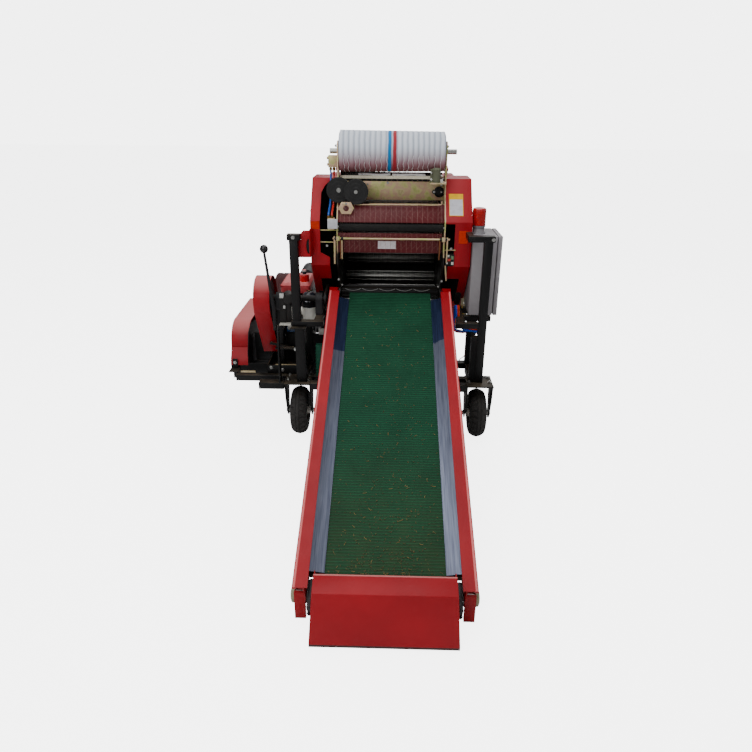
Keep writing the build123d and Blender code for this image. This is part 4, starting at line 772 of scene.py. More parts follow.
class BALER_OT_frame(bpy.types.Operator):
    """Round and paint the frame's rails, beams, posts and plates, with caps and bolts"""
    bl_idname = "baler.frame"
    bl_label = "Frame"

    def execute(self, context):
        for node in ("frame_rails", "frame_beams", "frame_posts", "mounting_plates", "guard_stays"):
            dress(node, 0.0025)
        dress("bale_ramp")
        tie = [(-442, 947), (-385, 947), (-385, 960), (-396, 964), (-402, 976), (-404, 990), (-404, 1008),
               (-402, 1022), (-396, 1034), (-385, 1038), (-385, 1075), (-416, 1075), (-430, 1061),
               (-430, 1032), (-442, 1032)]
        flange = places((-391, 3, 947), (-385, 3, 947), (-385, 3, 1075), (-391, 3, 1075))
        solid("post_ties_bent", "red_paint", (prism, [at(x, -3, z) for x, z in tie], BACK * 6 * MM),
              (prism, flange, BACK * 88 * MM), edge=0.001, replaced=["post_ties"])
        # a black block behind the tie's slot, standing in for the shade seen through it
        solid("tie_slot_shade_block", "red_paint", *blocks((-408, -387, 4, 9, 954, 1044)),
              paint="belt_rubber", edge=0.001)
        dress("pins", 0.0006)
        solid("tube_end_caps", "black_plastic", *blocks(*[
            (x, x + 46, 829, 831, 270, 316) for x in (-323, 277)]), edge=0.001)
        rows = heads(FRONT, (-462, -35, 1047, 13), (482, -35, 1047, 13), (-830, 225, 338, 14),
                     (-628, 132, 455, 12), (-480, -2, 473, 12))
        rows += mirrored(heads(UP, *[(x, y, 316, 16) for x in (415, 520) for y in (-30, 30)])
                         + heads(DOWN, *[(x, y, 262, 14) for x in (255, 335) for y in (752, 818)]))
        bolts("frame_bolts", "chassis", rows)
        return {"FINISHED"}


class BALER_OT_chamber(bpy.types.Operator):
    """Round and finish the chamber, its covers and the gate, with plates and bolts"""
    bl_idname = "baler.chamber"
    bl_label = "Chamber and gate"

    def execute(self, context):
        # black is a painted shade for the inner faces of the chamber, the gate and the covers
        red, black = finish("red_paint"), matt_cover("chamber_black", "#100D0C", 0.6)
        # the chamber's walls are near black below their top edge, as painted shade
        dress("chamber_sides", paint=chromated_zinc("chromated_zinc_walls", painted_shade_below=0.955))
        dress("chamber_rollers", paint=black_with_painted_glints("worn_roller"))
        dress("gate_rollers")
        dress("feed_rotor", paint=matt_cover("rotor_black", "#121010", 0.5))
        for node, paint in (("chamber_panels", powder_coat("powder_coat_under_net", "#501418")),
                            ("gate_sides", red), ("gate_shell", red)):
            paint_shade_inside(dress(node, paint=[paint, black]), at(0, CHAMBER_Y, CHAMBER_Z))
        for side in ("left", "right"):
            for half in ("barrel", "rod"):
                dress(f"cylinder_{side}_{half}")
        # the covers get the painted shade inside only where their side walls face the chamber
        covers = dress("side_covers", paint=[red, black])
        paint_shade_inside(covers, at(0, 300, CHAMBER_Z), area=0.0004, beyond=0.27)
        for name, colour, code, plates in (
            ("plate_yellow", "yellow", "#E0AC00", [
                (on_cover(282, 1132, 0.2), 0.069, COVER_SLOPE * 0.124, OFF_COVER)]),
            ("plate_white", "white", "#C4C4CC", [
                (on_cover(285, 1134.5, 0.5), 0.063, COVER_SLOPE * 0.089, OFF_COVER)]),
            ("plates_orange", "orange", "#C02A0C", [
                (at(-394, 89.8, 1067), 0.043, UP * 0.037, FRONT),
                (at(332, 89.8, 1004), 0.044, UP * 0.06, FRONT)]),
            ("plate_panel", "pale", "#C9C2C6", [(at(-63, 94.8, 973), 0.089, UP * 0.038, FRONT)]),
        ):
            solid("blank_" + name, "red_paint", *[
                (plate_on, corner, RIGHT * width, along, off) for corner, width, along, off in plates],
                paint=flat_print("vinyl_" + colour, code))
        # scalloped edges of the rotor's flights, light grey as a painted highlight
        scallops = []
        for x in (-195, -105, -15, 75, 165):
            line = []
            for share in (-1, -0.75, -0.5, -0.25, 0, 0.25, 0.5, 0.75, 1):
                turn = math.radians(22 + 18 * share * share)
                line.append(at(x + 42 * share, FLIGHT_Y - FLIGHT_RADIUS * math.cos(turn),
                               FLIGHT_Z + FLIGHT_RADIUS * math.sin(turn)))
            scallops.append((tube, line, 1.8, 8))
        solid("rotor_flight_edges", "dark_steel", *scallops, paint=flat_print("worn_edge", "#8A8A88"),
              body="rotor")
        rows = heads(FRONT, (-259, 90, 818, 8), (258, 90, 815, 8), (-242, 92, 790, 6), (242, 92, 786, 6))
        rows += mirrored([(round_chamber(395, angle), RIGHT, 17) for angle in (105, 142, 172.5, 250)])
        bolts("chamber_bolts", "chassis", rows)
        angles = (285, 307.5, 330, 352.5, 15, 37.5, 60, 82.5)
        bolts("gate_bolts", "gate", mirrored([(round_chamber(326, angle), RIGHT, 17) for angle in angles]))
        return {"FINISHED"}


def net_profile(start, count, pitch):
    """Half section of the wound net: a bulge between each two chains, and a taper to the right end."""
    half = NET_HALF
    profile = [(-half, 14), (-half, 84), (-half + 3, 90), (-half + 8, 94)]
    for index in range(count):
        middle = start + (index + 0.5) * pitch
        profile += [(middle - 9, 96.2), (middle - 5, 96.8), (middle - 1.5, 97), (middle + 1.5, 97),
                    (middle + 5, 96.8), (middle + 9, 96.2)]
    profile += [(half - 8, 94), (half - 3, 90), (half, 84), (half, 14), (-half, 14)]
    return [(height, radius - (height + half) * NET_TAPER / (2 * half) + 0.2 if radius > 50 else radius)
            for height, radius in profile]


# The net's way from the roll over the guide plate and the feed roller down the panel: y and z
WEB_PATH = [(226, 1321), (238, 1307), (258, 1293), (262, 1270), (262, 1194), (150, 1185.5), (98, 1102),
            (112, 1096), (129, 1074), (112, 1052), (93, 1047), (93.5, 955)]
WEB_LEFT, WEB_RIGHT, ZIGZAG_STEP = -248.0, 246.0, 26
# Sides of the turned roll, the radius of its loose threads, and where its marker stripes lie
ROLL_SIDES, LOOSE_RADIUS, STRIPES_X, STRIPES_HALF = 96, 99, 5, 22


def web_threads(start, count, pitch, stray):
    """Threads of the net's web as shapes: chains down the machine with zigzags between them."""
    lengths = [0.0]
    for (y0, z0), (y1, z1) in zip(WEB_PATH, WEB_PATH[1:]):
        lengths.append(lengths[-1] + math.hypot(y1 - y0, z1 - z0))

    def along_path(distance):
        for index, (low, high) in enumerate(zip(lengths, lengths[1:])):
            if distance <= high:
                share = (distance - low) / (high - low)
                (y0, z0), (y1, z1) = WEB_PATH[index:index + 2]
                return y0 + (y1 - y0) * share, z0 + (z1 - z0) * share

    threads = []
    for index in range(count + 1):
        x = max(WEB_LEFT, min(WEB_RIGHT, start + index * pitch))
        threads.append((tube, [at(x + stray.uniform(-1.2, 1.2), y, z) for y, z in WEB_PATH], 0.4, 4))
        if index == count:
            break
        zigzag = []
        for number in range(math.ceil(lengths[-1] / ZIGZAG_STEP)):
            y, z = along_path(number * ZIGZAG_STEP)
            side = pitch if number % 2 else 0
            zigzag.append(at(min(WEB_RIGHT, max(WEB_LEFT, x + side)), y - 0.4, z))
        threads.append((tube, zigzag, 0.28, 3))
    return threads


def loose_threads(start, count, pitch, stray):
    """Threads that hang over the front of the roll, clear of its marker stripes."""
    threads = []
    for index in range(1, count):
        x = start + (index + stray.uniform(-0.2, 0.2)) * pitch
        if abs(x - STRIPES_X) < STRIPES_HALF:
            continue
        line = []
        for step in range(11):
            turn = math.radians(-8 - 62 * step / 10)
            line.append(at(x + 2.6 * math.sin(step * 1.3 + index), NET_Y - LOOSE_RADIUS * math.cos(turn),
                           NET_Z + LOOSE_RADIUS * math.sin(turn)))
        threads.append((tube, line, 0.9, 5))
    return threads


class BALER_OT_net_unit(bpy.types.Operator):
    """Net roll, its web over the panels, and the small pieces that feed it"""
    bl_idname = "baler.net_unit"
    bl_label = "Net unit"

    def execute(self, context):
        for node in ("net_feed_plates", "net_shaft"):
            dress(node, 0.0006)
        pitch = context.scene.baler_sizes.chain_pitch / MM
        count = int(2 * NET_HALF / pitch)
        start = -count * pitch / 2
        profile = net_profile(start, count, pitch)
        rolled, stray = random.Random(5), random.Random(11)
        waves = [rolled.uniform(0, 6.3) for _ in profile]

        def loose(index, step):
            if profile[index][1] < 90:
                return 0.0
            return 0.35 * math.sin(4 * math.pi * step / ROLL_SIDES + waves[index]) - 0.35

        solid("net_roll_wound", "net_film", (turned, profile, at(0, NET_Y, NET_Z), RIGHT, ROLL_SIDES, loose),
              paint=wound_net("net_wound", MID_X + start * MM, pitch * MM), body="net_spindle",
              replaced=["net_roll"], smooth=40)
        core = [(-2, 13), (-2, 38), (1.5, 38), (1.5, 13), (-2, 13)]
        solid("net_roll_core", "net_film", *[
            (turned, core, at(end * 254, NET_Y, NET_Z), RIGHT * end) for end in SIDES],
            paint=matt_cover("cardboard", "#8A6A46", 0.8), body="net_spindle")
        solid("net_web", "net_film", *web_threads(start, count, pitch, stray),
              paint=knitted_net("net_threads", "#9C7A70"))
        solid("loose_threads", "net_film", *loose_threads(start, count, pitch, stray), paint="white_net",
              body="net_spindle")
        solid("net_guide_bar", "zinc_plate", *blocks((-257, 207, 231.5, 233, 1291, 1306)),
              paint=knitted_net("bar_cream", "#ECE4CC"), edge=0.0006)
        solid("net_fold", "net_film", *[
            (tube, [at(x0 + (x1 - x0) * step / 8, 236 + 1.5 * math.sin(step * 1.7),
                       1311 + dip * math.sin(step * 0.9)) for step in range(9)], 5.5, 8)
            for x0, x1, dip in ((-165, -8, 2), (2, 165, -1))], paint="white_net")
        # a black block behind the roll's underside, standing in for the shade there
        solid("net_back_shade_block", "zinc_plate", *blocks((-256, 250, 262.5, 264.5, 1262, 1321)),
              paint="black_paint", edge=0.0006)
        solid("feed_roller_ribbed", "belt_rubber", (
            turned, [(-255, 17), (-254, 18.8), (254, 18.8), (255, 17)], at(*FEED_ROLLER), RIGHT, 72,
            lambda index, step: 0.2 if step % 3 else -1.3), body="net_feed_roller", smooth=25)
        solid("feed_roller_shaft", "bare_steel", (
            turned, [(-276, 7.9), (266, 7.9)], at(*FEED_ROLLER), RIGHT, 24),
            body="net_feed_roller", replaced=["feed_roller"])

        # friction discs with turned rings, the rocker, the flange bearing and the actuator
        disc = [(-12, 9), (-12, 59), (-10.5, 60), (-1.5, 60), (0, 58.6), (0, 49), (-0.8, 48.2), (-0.8, 40),
                (0, 39.2), (0, 31), (-0.8, 30.2), (-0.8, 22), (0.2, 21), (0.2, 12), (-1, 11), (-1, 9),
                (-12, 9)]
        solid("friction_discs", "black_plastic", *[
            (turned, disc, place, FRONT, 64) for place in places((-256, 138, 1245), (-172, 122, 1239))],
            paint=matt_cover("friction_disc_black", "#1C1C1C", 0.42), replaced=["net_feed_drive"])
        solid("disc_rocker", "bare_steel", *blocks((-262, -164, 150, 155, 1236, 1250)),
              (turned, [(-128, 9), (0, 9), (1, 8), (1, 0)], at(-172, 126, 1239), FRONT, 24),
              (turned, [(-12, 9), (0, 9), (1, 8), (1, 0)], at(-256, 139, 1245), FRONT, 24), edge=0.0008)
        bearing = at(238, 254, 1229)
        solid("flange_bearing", "black_plastic", (
            turned, [(0, 26), (6, 26), (7.5, 24), (11, 18), (13, 16), (13, 12), (11, 11), (11, 0)],
            bearing, FRONT, 48), *[
            (turned, [(0, 10), (5, 10), (6, 9), (6, 0)], bearing + RIGHT * x * MM, FRONT, 24)
            for x in (-26, 10)])
        solid("net_actuator", "black_plastic", (turned, [
            (0, 21.5), (4, 21.5), (4.5, 19), (6, 19), (6.5, 21), (52, 21), (53, 21.5), (60, 21.5), (62, 19),
            (66, 15), (66, 0)], at(212, 127, 1286), UP), *blocks((184, 191, 120, 150, 1284, 1346)),
            paint=powder_coat("hammered_grey_green", "#5C5F4C"))
        solid("actuator_fittings", "black_plastic", *[
            (turned, [(-6, radius), (6, radius), (7, radius - 1.5), (7, 0)], at(x, 124, z), FRONT, 14)
            for x, z, radius in ((188, 1300, 5), (188, 1330, 4), (236, 1296, 6), (236, 1318, 4))],
            *blocks((232, 244, 116, 136, 1286, 1302)), paint="white_plastic")

        # valve block, white switch box, hoses with their fittings
        dress("air_valves", 0.0015)
        solid("switch_box_cover", "zinc_plate", *blocks((-304, -256, 39.5, 42, 1077, 1123)),
              paint=gloss_plastic("abs_white", "#B9B9BE"), edge=0.001)
        hose = ((222, 1345), (222, 1290), (170, 1232), (170, 1182), (60, 1145), (60, 1125))
        for name, x, code in (("blue", -300, "#0A50A8"), ("red", -284, "#B8241C")):
            line = soft_line([at(x, y, z) for y, z in hose], 0.02)
            solid("hose_" + name, "hose_plastic", (tube, line, 4.9, 14),
                  paint=gloss_plastic("polyurethane_" + name, code), replaced=["air_hoses"])
        solid("hose_fittings", "zinc_plate", *[
            (turned, [(-2, 7.5), (8, 7.5), (8.5, 6), (13, 6), (13, 0)], at(x, y, z), UP, 16)
            for x in (-300, -284) for y, z in ((222, 1332), (60, 1125))], *[
            (turned, [(0, 6), (6, 6), (6, 0)], at(-310, 205, z), LEFT, 12) for z in (1388, 1358)],
            paint="brass")

        # zinc rod under the plate, rods and levers in the windows, limit switch at the right
        solid("front_rods", "zinc_plate", *rods(
            (2.7, (-182, 130, 1179), (245, 130, 1181), (245, 130, 1200)),
            (2.4, (-348, 100, 1060), (-257, 100, 1060)),
            (2.4, (-348, 100, 1002), (-257, 100, 1002)), (4.2, (-272, 82, 1030), (-275, 82, 899)),
            (3.6, (258, 80, 1024), (262, 80, 935)), (3.6, (272, 84, 895), (280, 84, 819)),
            (2.2, (260, 86, 971), (318, 86, 972))))
        solid("switch_rod", "zinc_plate", *rods((3.0, (273, 84, 1017), (275, 84, 950))), paint="coppered")
        solid("limit_switch", "black_plastic", *blocks((273, 314, 84, 112, 896, 951)), edge=0.0015)
        for name, code, rows in (
            ("white", "#C8C8C0", ((276, 290, 938, 949), (300, 312, 900, 914), (276, 284, 903, 912))),
            ("red", "#B02820", ((280, 297, 918, 930),)), ("green", "#5E7A58", ((298, 311, 926, 944),)),
        ):
            solid("switch_" + name, "black_plastic", *blocks(*[
                (x0, x1, 81.5, 84.5, z0, z1) for x0, x1, z0, z1 in rows]),
                paint=gloss_plastic(f"switch_{name}_abs", code), edge=0.0006)

        # copper-coloured return rods and the collars of the cross rod
        solid("return_rods", "zinc_plate", *[
            (tube, places((x, 78, 1024), (x, 78, 925)), 3.2) for x in (-246, 239)], paint="coppered")
        solid("rod_collars", "black_plastic", *[
            (turned, [(-5, 9), (5, 9), (5, 5), (-5, 5), (-5, 9)], at(x, 80, 1024), RIGHT, 20)
            for x in (-272, -238, 244, 270)])
        bolts("net_unit_bolts", "chassis", heads(
            FRONT, (-256, 137, 1245, 16), (-172, 121, 1239, 13), (212, 245, 1229, 9), (248, 245, 1229, 9),
            (248, 253, 1262, 8), (-120, 255, 1262, 7), (-20, 254, 1270, 9), (-219, 107, 1186, 8))
            + heads(LEFT, (-271, 227, 1443, 12)) + heads(RIGHT, (267, 227, 1443, 12))
            + heads(FRONT, (296, 80, 980, 9), (-317, 120, 980, 9)))
        return {"FINISHED"}


def loop_path(radius, steps=24):
    """The belt's closed line at a distance from its axis line, as places of the mid-plane."""
    line = []
    for begin, along in ((math.pi / 2, CONVEYOR_LENGTH), (-math.pi / 2, 0)):
        for step in range(steps + 1):
            angle = begin - math.pi * step / steps
            line.append(on_belt(0, along + radius * math.cos(angle), radius * math.sin(angle)))
    return line


def belt_loop(bm):
    """Add the belt's thin closed loop."""
    rings = []
    for out, into in zip(loop_path(36.4), loop_path(34.1)):
        rings.append([bm.verts.new(place + RIGHT * x * MM) for place, x in (
            (out, -BELT_HALF), (out, BELT_HALF), (into, BELT_HALF), (into, -BELT_HALF))])
    skin(bm, rings + rings[:1])


def rib_tree(material, length):
    """Cross ribs evenly spaced along a closed line."""
    sizes = bpy.context.scene.baler_sizes
    tree, source = geometry_tree("cross_ribs", [("Pitch", sizes.rib_pitch), ("Radius", sizes.rib_radius)])
    curve = add(tree, "GeometryNodeMeshToCurve", {0: source.outputs[0]}).outputs[0]
    spaced = add(tree, "GeometryNodeResampleCurve", {
        "Curve": curve, "Length": source.outputs["Pitch"]}, mode="LENGTH")
    lying = add(tree, "GeometryNodeTransform", {
        "Rotation": (0, math.pi / 2, 0), "Geometry": cylinder(tree, 8, source.outputs["Radius"], length)})
    placed = add(tree, "GeometryNodeInstanceOnPoints", {
        "Points": spaced.outputs[0], "Instance": lying.outputs[0]})
    return end_tree(tree, placed.outputs[0], material)


def straw_tree(material):
    """A thin bent stalk at each point, along its facing and as long as its size."""
    tree, source = geometry_tree("straw_bits", [("Slenderness", 0.05)])
    stalk = cylinder(tree, 5, source.outputs["Slenderness"], 1.0, segments=3)
    place = add(tree, "GeometryNodeInputPosition").outputs[0]
    height = add(tree, "ShaderNodeSeparateXYZ", {0: place}).outputs["Z"]
    bent = maths(tree, "MULTIPLY", maths(tree, "MULTIPLY", height, height), 0.35)
    shift = add(tree, "ShaderNodeCombineXYZ", {"X": bent}).outputs[0]
    curved = add(tree, "GeometryNodeSetPosition", {"Geometry": stalk, "Offset": shift}).outputs[0]
    return at_rows(tree, source.outputs[0], curved, material)


def straw_rows(amount):
    """Where bits of straw lie on the belt, thick at its foot: stalks, and shorter chaff."""
    rolled = random.Random(21)
    stalks, chaff = [], []
    for number in range(amount):
        along = STRAW_FOOT - STRAW_REACH * rolled.random() ** (4.8 if number % 18 else 1.0)
        x = rolled.gauss(15, 85) if number % 3 else rolled.uniform(-200, 200)
        if abs(x) > STRAW_HALF or along < STRAW_TOP:
            continue
        angle = rolled.uniform(0, 2 * math.pi)
        facing = RIGHT * math.cos(angle) + DOWNHILL * math.sin(angle) + OFF_BELT * rolled.uniform(-0.12, 0.25)
        length = rolled.uniform(0.0025, 0.007) if number % 6 else rolled.uniform(0.006, 0.015)
        bits = chaff if number % 6 else stalks
        bits.append((on_belt(x, along, STRAW_UP), facing.normalized(), length))
    return stalks, chaff


class BALER_OT_conveyor(bpy.types.Operator):
    """Finish the conveyor: rails with rolled lips, ribbed belt with straw, strips, drums and hood"""
    bl_idname = "baler.conveyor"
    bl_label = "Conveyor"

    def execute(self, context):
        def on_rails(name, slot, *shapes, **more):
            return solid(name, slot, *shapes, body="conveyor", **more)

        def pair(outline, from_head, short):
            """A folded section on each side, down the slope."""
            return [(prism, [on_belt(side * x, from_head, up) for x, up in outline],
                     DOWNHILL * (CONVEYOR_LENGTH - short) * MM) for side in SIDES]

        sizes = context.scene.baler_sizes
        dress("conveyor_rails", 0.0016, powder_coat("powder_coat_rail", "#94000C"))
        dress("conveyor_bed")
        dress("belt_strips", 0.0006, filmed_stainless("stainless_with_film"))
        lips = []
        for side in SIDES:
            start, end = (on_belt(side * 298.5, along, 105.5) for along in (66, CONVEYOR_LENGTH + 31.5))
            length = (start - end).length / MM
            lips.append((turned, [(0, 7), (0, 5.2), (length, 5.2), (length, 7), (0, 7)], end,
                         (start - end).normalized(), 20))
        # the lips' lighter red and pale pink tops are a painted highlight along the rails' rolled edges
        on_rails("rail_lips", "red_paint", *lips, paint=powder_coat("powder_coat_lip", "#C0303A", sky_highlight=1.0))
        on_rails("rail_flanges", "red_paint", *pair(
            [(299, 111), (254, 111), (254, 105), (256, 105), (256, 109), (299, 109)], 66, 34.5))
        on_rails("bed_edges", "black_paint", *pair([(203, 28), (262, 28), (262, 30), (203, 30)], 45, 90))

        # belt: a thin loop under its ribs, and straw left on it
        # the loop between the ribs is a darker copy of the belt, as painted shade
        on_rails("belt_carcass", "green_belt", (belt_loop,), paint=ribbed_belt("pvc_belt_green", 0.72),
                 replaced=["conveyor_belt"])
        # the ribs are a lighter copy of the belt, as a painted highlight
        highlit_ribs = ribbed_belt("pvc_belt_ribs", 1.35)
        mesh = bpy.data.meshes.new("belt_ribs")
        line = loop_path(35.6)
        mesh.from_pydata(line, [(i, (i + 1) % len(line)) for i in range(len(line))], [])
        ribs = grow(as_object("belt_ribs", mesh), rib_tree(highlit_ribs, 2 * BELT_HALF * MM),
                    {"Pitch": sizes.rib_pitch, "Radius": sizes.rib_radius})
        settle(ribs, highlit_ribs, "conveyor")
        stalks, chaff = straw_rows(sizes.straw_bits)
        for name, rows, code, slender in (("straw_stalks", stalks, "#7E683A", 0.06),
                                          ("straw_chaff", chaff, "#5E4E2C", 0.14)):
            straw = dry_straw("dry_" + name, code)
            bits = grow(seeded(name, rows), straw_tree(straw), {"Slenderness": slender})
            settle(bits, straw, "conveyor")

        # drums, their shafts, the tail's bearings and its tensioners
        on_rails("drums_and_shafts", "bare_steel", *[
            (turned, profile, on_belt(0, along, 0), RIGHT, sides) for along in (0, CONVEYOR_LENGTH)
            for profile, sides in (
                ([(-205, 13), (-205, 31), (-202, 33.6), (202, 33.6), (205, 31), (205, 13), (-205, 13)], 40),
                ([(-322, 11), (-321, 12.4), (321, 12.4), (322, 11)], 24))], replaced=["conveyor_drums"])
        on_rails("tail_bearings", "bare_steel", *[
            (turned, [(306, 14), (306, 30), (314, 30), (318, 26), (320.5, 19), (320.5, 14), (306, 14)],
             on_belt(0, CONVEYOR_LENGTH, 0), RIGHT * side) for side in SIDES],
            paint=powder_coat("primer_khaki", "#8D8C70"))
        bar = ((247, 1572), (259, 1572), (259, 1668), (247, 1668))
        on_rails("tail_tensioners", "bare_steel", *[
            (prism, [on_belt(side * x, along, -10) for x, along in bar], OFF_BELT * 52 * MM)
            for side in SIDES], paint=matt_cover("blackened_steel", "#2C2B2E", 0.45), edge=0.001)
        bolts("tail_bolts", "conveyor", mirrored([
            (on_belt(253, 1570, 30), OFF_BELT, 12), (on_belt(253, 1668, -2), DOWNHILL, 12)]), "#38383A")

        # hood: a folded sheet with a lip at its back and a return at its foot, on two cheeks
        top, foot = 231, 243
        bm = bmesh.new()
        rows = [[bm.verts.new(at(x, y, z)) for x in (-half, -half / 3, half / 3, half)] for y, z, half in (
            (-1380, 222.5, top), (-1394, 225, top), (-1450, 205, top), (-1480, 24, foot), (-1473, 10, foot))]
        for low, high in zip(rows, rows[1:]):
            for index in range(3):
                bm.faces.new((low[index], low[index + 1], high[index + 1], high[index]))
        hood = mesh_piece("hood_sheet", bm, 12)
        wall = hood.modifiers.new("sheet", "SOLIDIFY")
        wall.thickness = 0.0025
        wall.offset = -1.0
        apply_modifiers(hood)
        settle(round_edges(hood, 0.0018, 3), finish("red_paint"), "conveyor", ["conveyor_hood"])
        # the hem at the hood's foot is a near-black red strip: painted shade where the return faces the floor
        hem = [at(-foot, y, z) for y, z in ((-1479.5, 23), (-1476, 9.5), (-1474.5, 9.5), (-1478, 23))]
        on_rails("hood_hem_painted_shade", "red_paint", (prism, hem, RIGHT * 2 * foot * MM), paint="dark_red_cast")
        # a rolled lip along the hood's back, pale pink as a painted highlight line
        on_rails("hood_lip_painted_highlight", "red_paint", (tube, places((-231, -1386, 222), (231, -1386, 222)), 5.0, 16),
                 paint="bleached_red")
        cheek = [(-1380, 220), (-1448, 202), (-1476, 14), (-1440, 12), (-1285, 45), (-1285, 105),
                 (-1362, 222)]
        on_rails("hood_cheeks", "red_paint", *[
            (prism, [at(side * 228, y, z) for y, z in cheek], RIGHT * side * 2.5 * MM) for side in SIDES])
        return {"FINISHED"}


def grooved_pulley(bm, x0, x1, shaft, radius):
    """Add a dished pulley with three V grooves between two x places on a shaft."""
    half = (x1 - x0) / 2
    profile = [(-half, 16), (-half, radius * 0.35), (-half + 14, radius * 0.4), (-half + 14, radius - 18),
               (-half, radius - 14), (-half, radius)]
    width = (2 * half - 6) / 3
    for groove in range(3):
        start = -half + 3 + groove * width
        profile += [(start + 1, radius), (start + width * 0.3, radius - 9), (start + width * 0.7, radius - 9),
                    (start + width - 1, radius)]
    profile += [(half, radius), (half, 16), (-half, 16)]
    turned(bm, profile, at((x0 + x1) / 2, *shaft), RIGHT, 56)


def folded(fold, y_in, y_out):
    """A bent sheet of the low guard's front as a shape: rows of y and z, its two faces offset from them."""
    outline = [at(LOW_GUARD_X, y + y_in, z) for y, z in fold]
    outline += [at(LOW_GUARD_X, y + y_out, z) for y, z in reversed(fold)]
    return prism, outline, RIGHT * LOW_GUARD_WIDTH * MM


class BALER_OT_drive(bpy.types.Operator):
    """Finish the engine with its tank and air cleaner, the pulleys, belts, chain and guards"""
    bl_idname = "baler.drive"
    bl_label = "Drive"

    def execute(self, context):
        # both guards carry the painted sky highlight: pale pink where they face up
        for node in ("tall_guard", "low_guard"):
            dress(node, 0.004, finish("bleached_red"))
        for node in ("rotor_chain", "bearing_blocks", "drive_belts"):
            dress(node)
        dress("engine_block", 0.006)
        solid("v_pulleys", "cast_grey", *[(grooved_pulley, *row) for row in (
            (-670, -610, ROTOR_SHAFT, 92), (-670, -610, JACKSHAFT, 62), (-835, -770, JACKSHAFT, 92),
            (-835, -770, CRANKSHAFT, 45))], replaced=["drive_pulleys"], smooth=30)
        solid("drive_shafts", "bare_steel", *[
            (turned, [(0, radius - 2), (2, radius), (x1 - x0 - 2, radius), (x1 - x0, radius - 2)],
             at(x0, *shaft), RIGHT, 24) for x0, x1, shaft, radius in (
                (-676, -322, ROTOR_SHAFT, 15), (-842, -584, JACKSHAFT, 15), (-842, -605, CRANKSHAFT, 18))],
            paint="dark_steel")
        wheel = [(0, 19), (0, 58), (4, 60), (16, 62), (18, 150), (16, 176), (2, 182), (0, 186), (0, 212),
                 (3, 215), (26, 215), (28, 213), (40, 213), (42, 215), (62, 215), (65, 212), (65, 19),
                 (0, 19)]
        solid("cast_flywheel", "dark_red_cast", (turned, wheel, at(-675, *CRANKSHAFT), RIGHT, 96),
              replaced=["flywheel"], smooth=30)

        # tank: pressed body with a seam, red filler cap, breather with its dark glass and white cap
        # the tank's paint is a faded red, with a painted sky highlight in pale pink where it faces up
        dress("fuel_tank", 0.008, powder_coat("powder_coat_sun_bleached", "#B84448", sky_highlight=1.0))
        solid("tank_seam", "red_paint", *blocks((-605, -440, 350, 600, 706, 710)), edge=0.0015)
        solid("tank_cap", "red_paint", (
            turned, [(0, 25.5), (30, 25.5), (34, 24.5), (38, 21), (39.5, 14), (39.5, 0)],
            at(-476, 400, 727.2), UP, 48, lambda index, step: -1.0 if step % 3 == 0 and index < 2 else 0.0),
            paint=gloss_plastic("cap_red", "#C00C10"))
        solid("breather_glass", "red_paint", (
            turned, [(0, 11.3), (15, 11.3), (16, 8)], at(-476, 400, 767), UP, 24),
            paint=gloss_plastic("smoked_glass", "#1E2228"))
        solid("breather_cap", "red_paint", (
            turned, [(0, 12.2), (6, 12.2), (8, 10), (8.6, 4), (8.6, 0)], at(-476, 400, 782), UP, 24),
            paint="white_plastic")

        # oil-bath air cleaner: cream bowl, black band, chrome band, dark dome and wing nut
        bowl = at(-425, 187, 560)
        # the bowl's near-white cream is partly painted light
        solid("air_cleaner_bowl", "cream_steel",
              (turned, [(0, 28), (3, 34), (10, 38), (78, 38), (84, 40), (88, 40)], bowl, UP, 48),
              *blocks((-440, -410, 187, 225, 585, 605), (-545, -500, 170, 228, 520, 555)),
              (turned, [(0, 20), (95, 20)], at(-520, 187, 540), UP, 32),
              (turned, [(0, 20), (80, 20)], at(-520, 187, 620), RIGHT, 32), edge=0.001,
              replaced=["air_cleaner"])
        for name, paint, profile in (
            ("band", "black_plastic", [(88, 40.5), (100, 40.5), (101, 37), (118, 37), (120, 36)]),
            ("clamp", "chromed_rod", [(119, 38), (128, 38.5), (130, 36)]),
            ("dome", gloss_plastic("smoked_cap", "#1C222C"), [
                (129, 36), (140, 35.5), (150, 33), (158, 28), (163, 20), (165, 9), (165, 0)]),
        ):
            solid("air_cleaner_" + name, "cream_steel", (turned, profile, bowl, UP, 48), paint=paint)
        solid("wing_nut", "cream_steel", (turned, [(160, 5), (170, 5), (171, 4), (171, 0)], bowl, UP, 16), *[
            (plate_on, bowl + RIGHT * side * 0.004 + UP * 0.166, RIGHT * side * 0.012 + UP * 0.007,
             UP * 0.005, FRONT, 2) for side in SIDES], paint="brass")

        # finned motor: ribs along its case, plain ends
        motor = at(-275, 0, 404)
        solid("motor_case", "green_paint",
              (turned, [(-20, 0), (-20, 12), (-19, 30), (-14, 60), (-8, 72), (-2, 74), (14, 74)],
               motor, BACK, 96),
              (turned, [(14, 60), (14, 79), (16, 80), (150, 80), (152, 79), (152, 60)], motor, BACK, 96,
               lambda index, step: -9.0 if step % 4 in (1, 2) and index in (1, 2, 3, 4) else 0.0),
              (turned, [(152, 60), (152, 76), (180, 76), (186, 72), (186, 0)], motor, BACK, 64),
              *blocks((-325, -225, -10, 30, 318, 345), (-325, -225, 130, 170, 318, 345),
                      (-345, -325, 40, 120, 385, 440)), replaced=["finned_motor"], smooth=28)

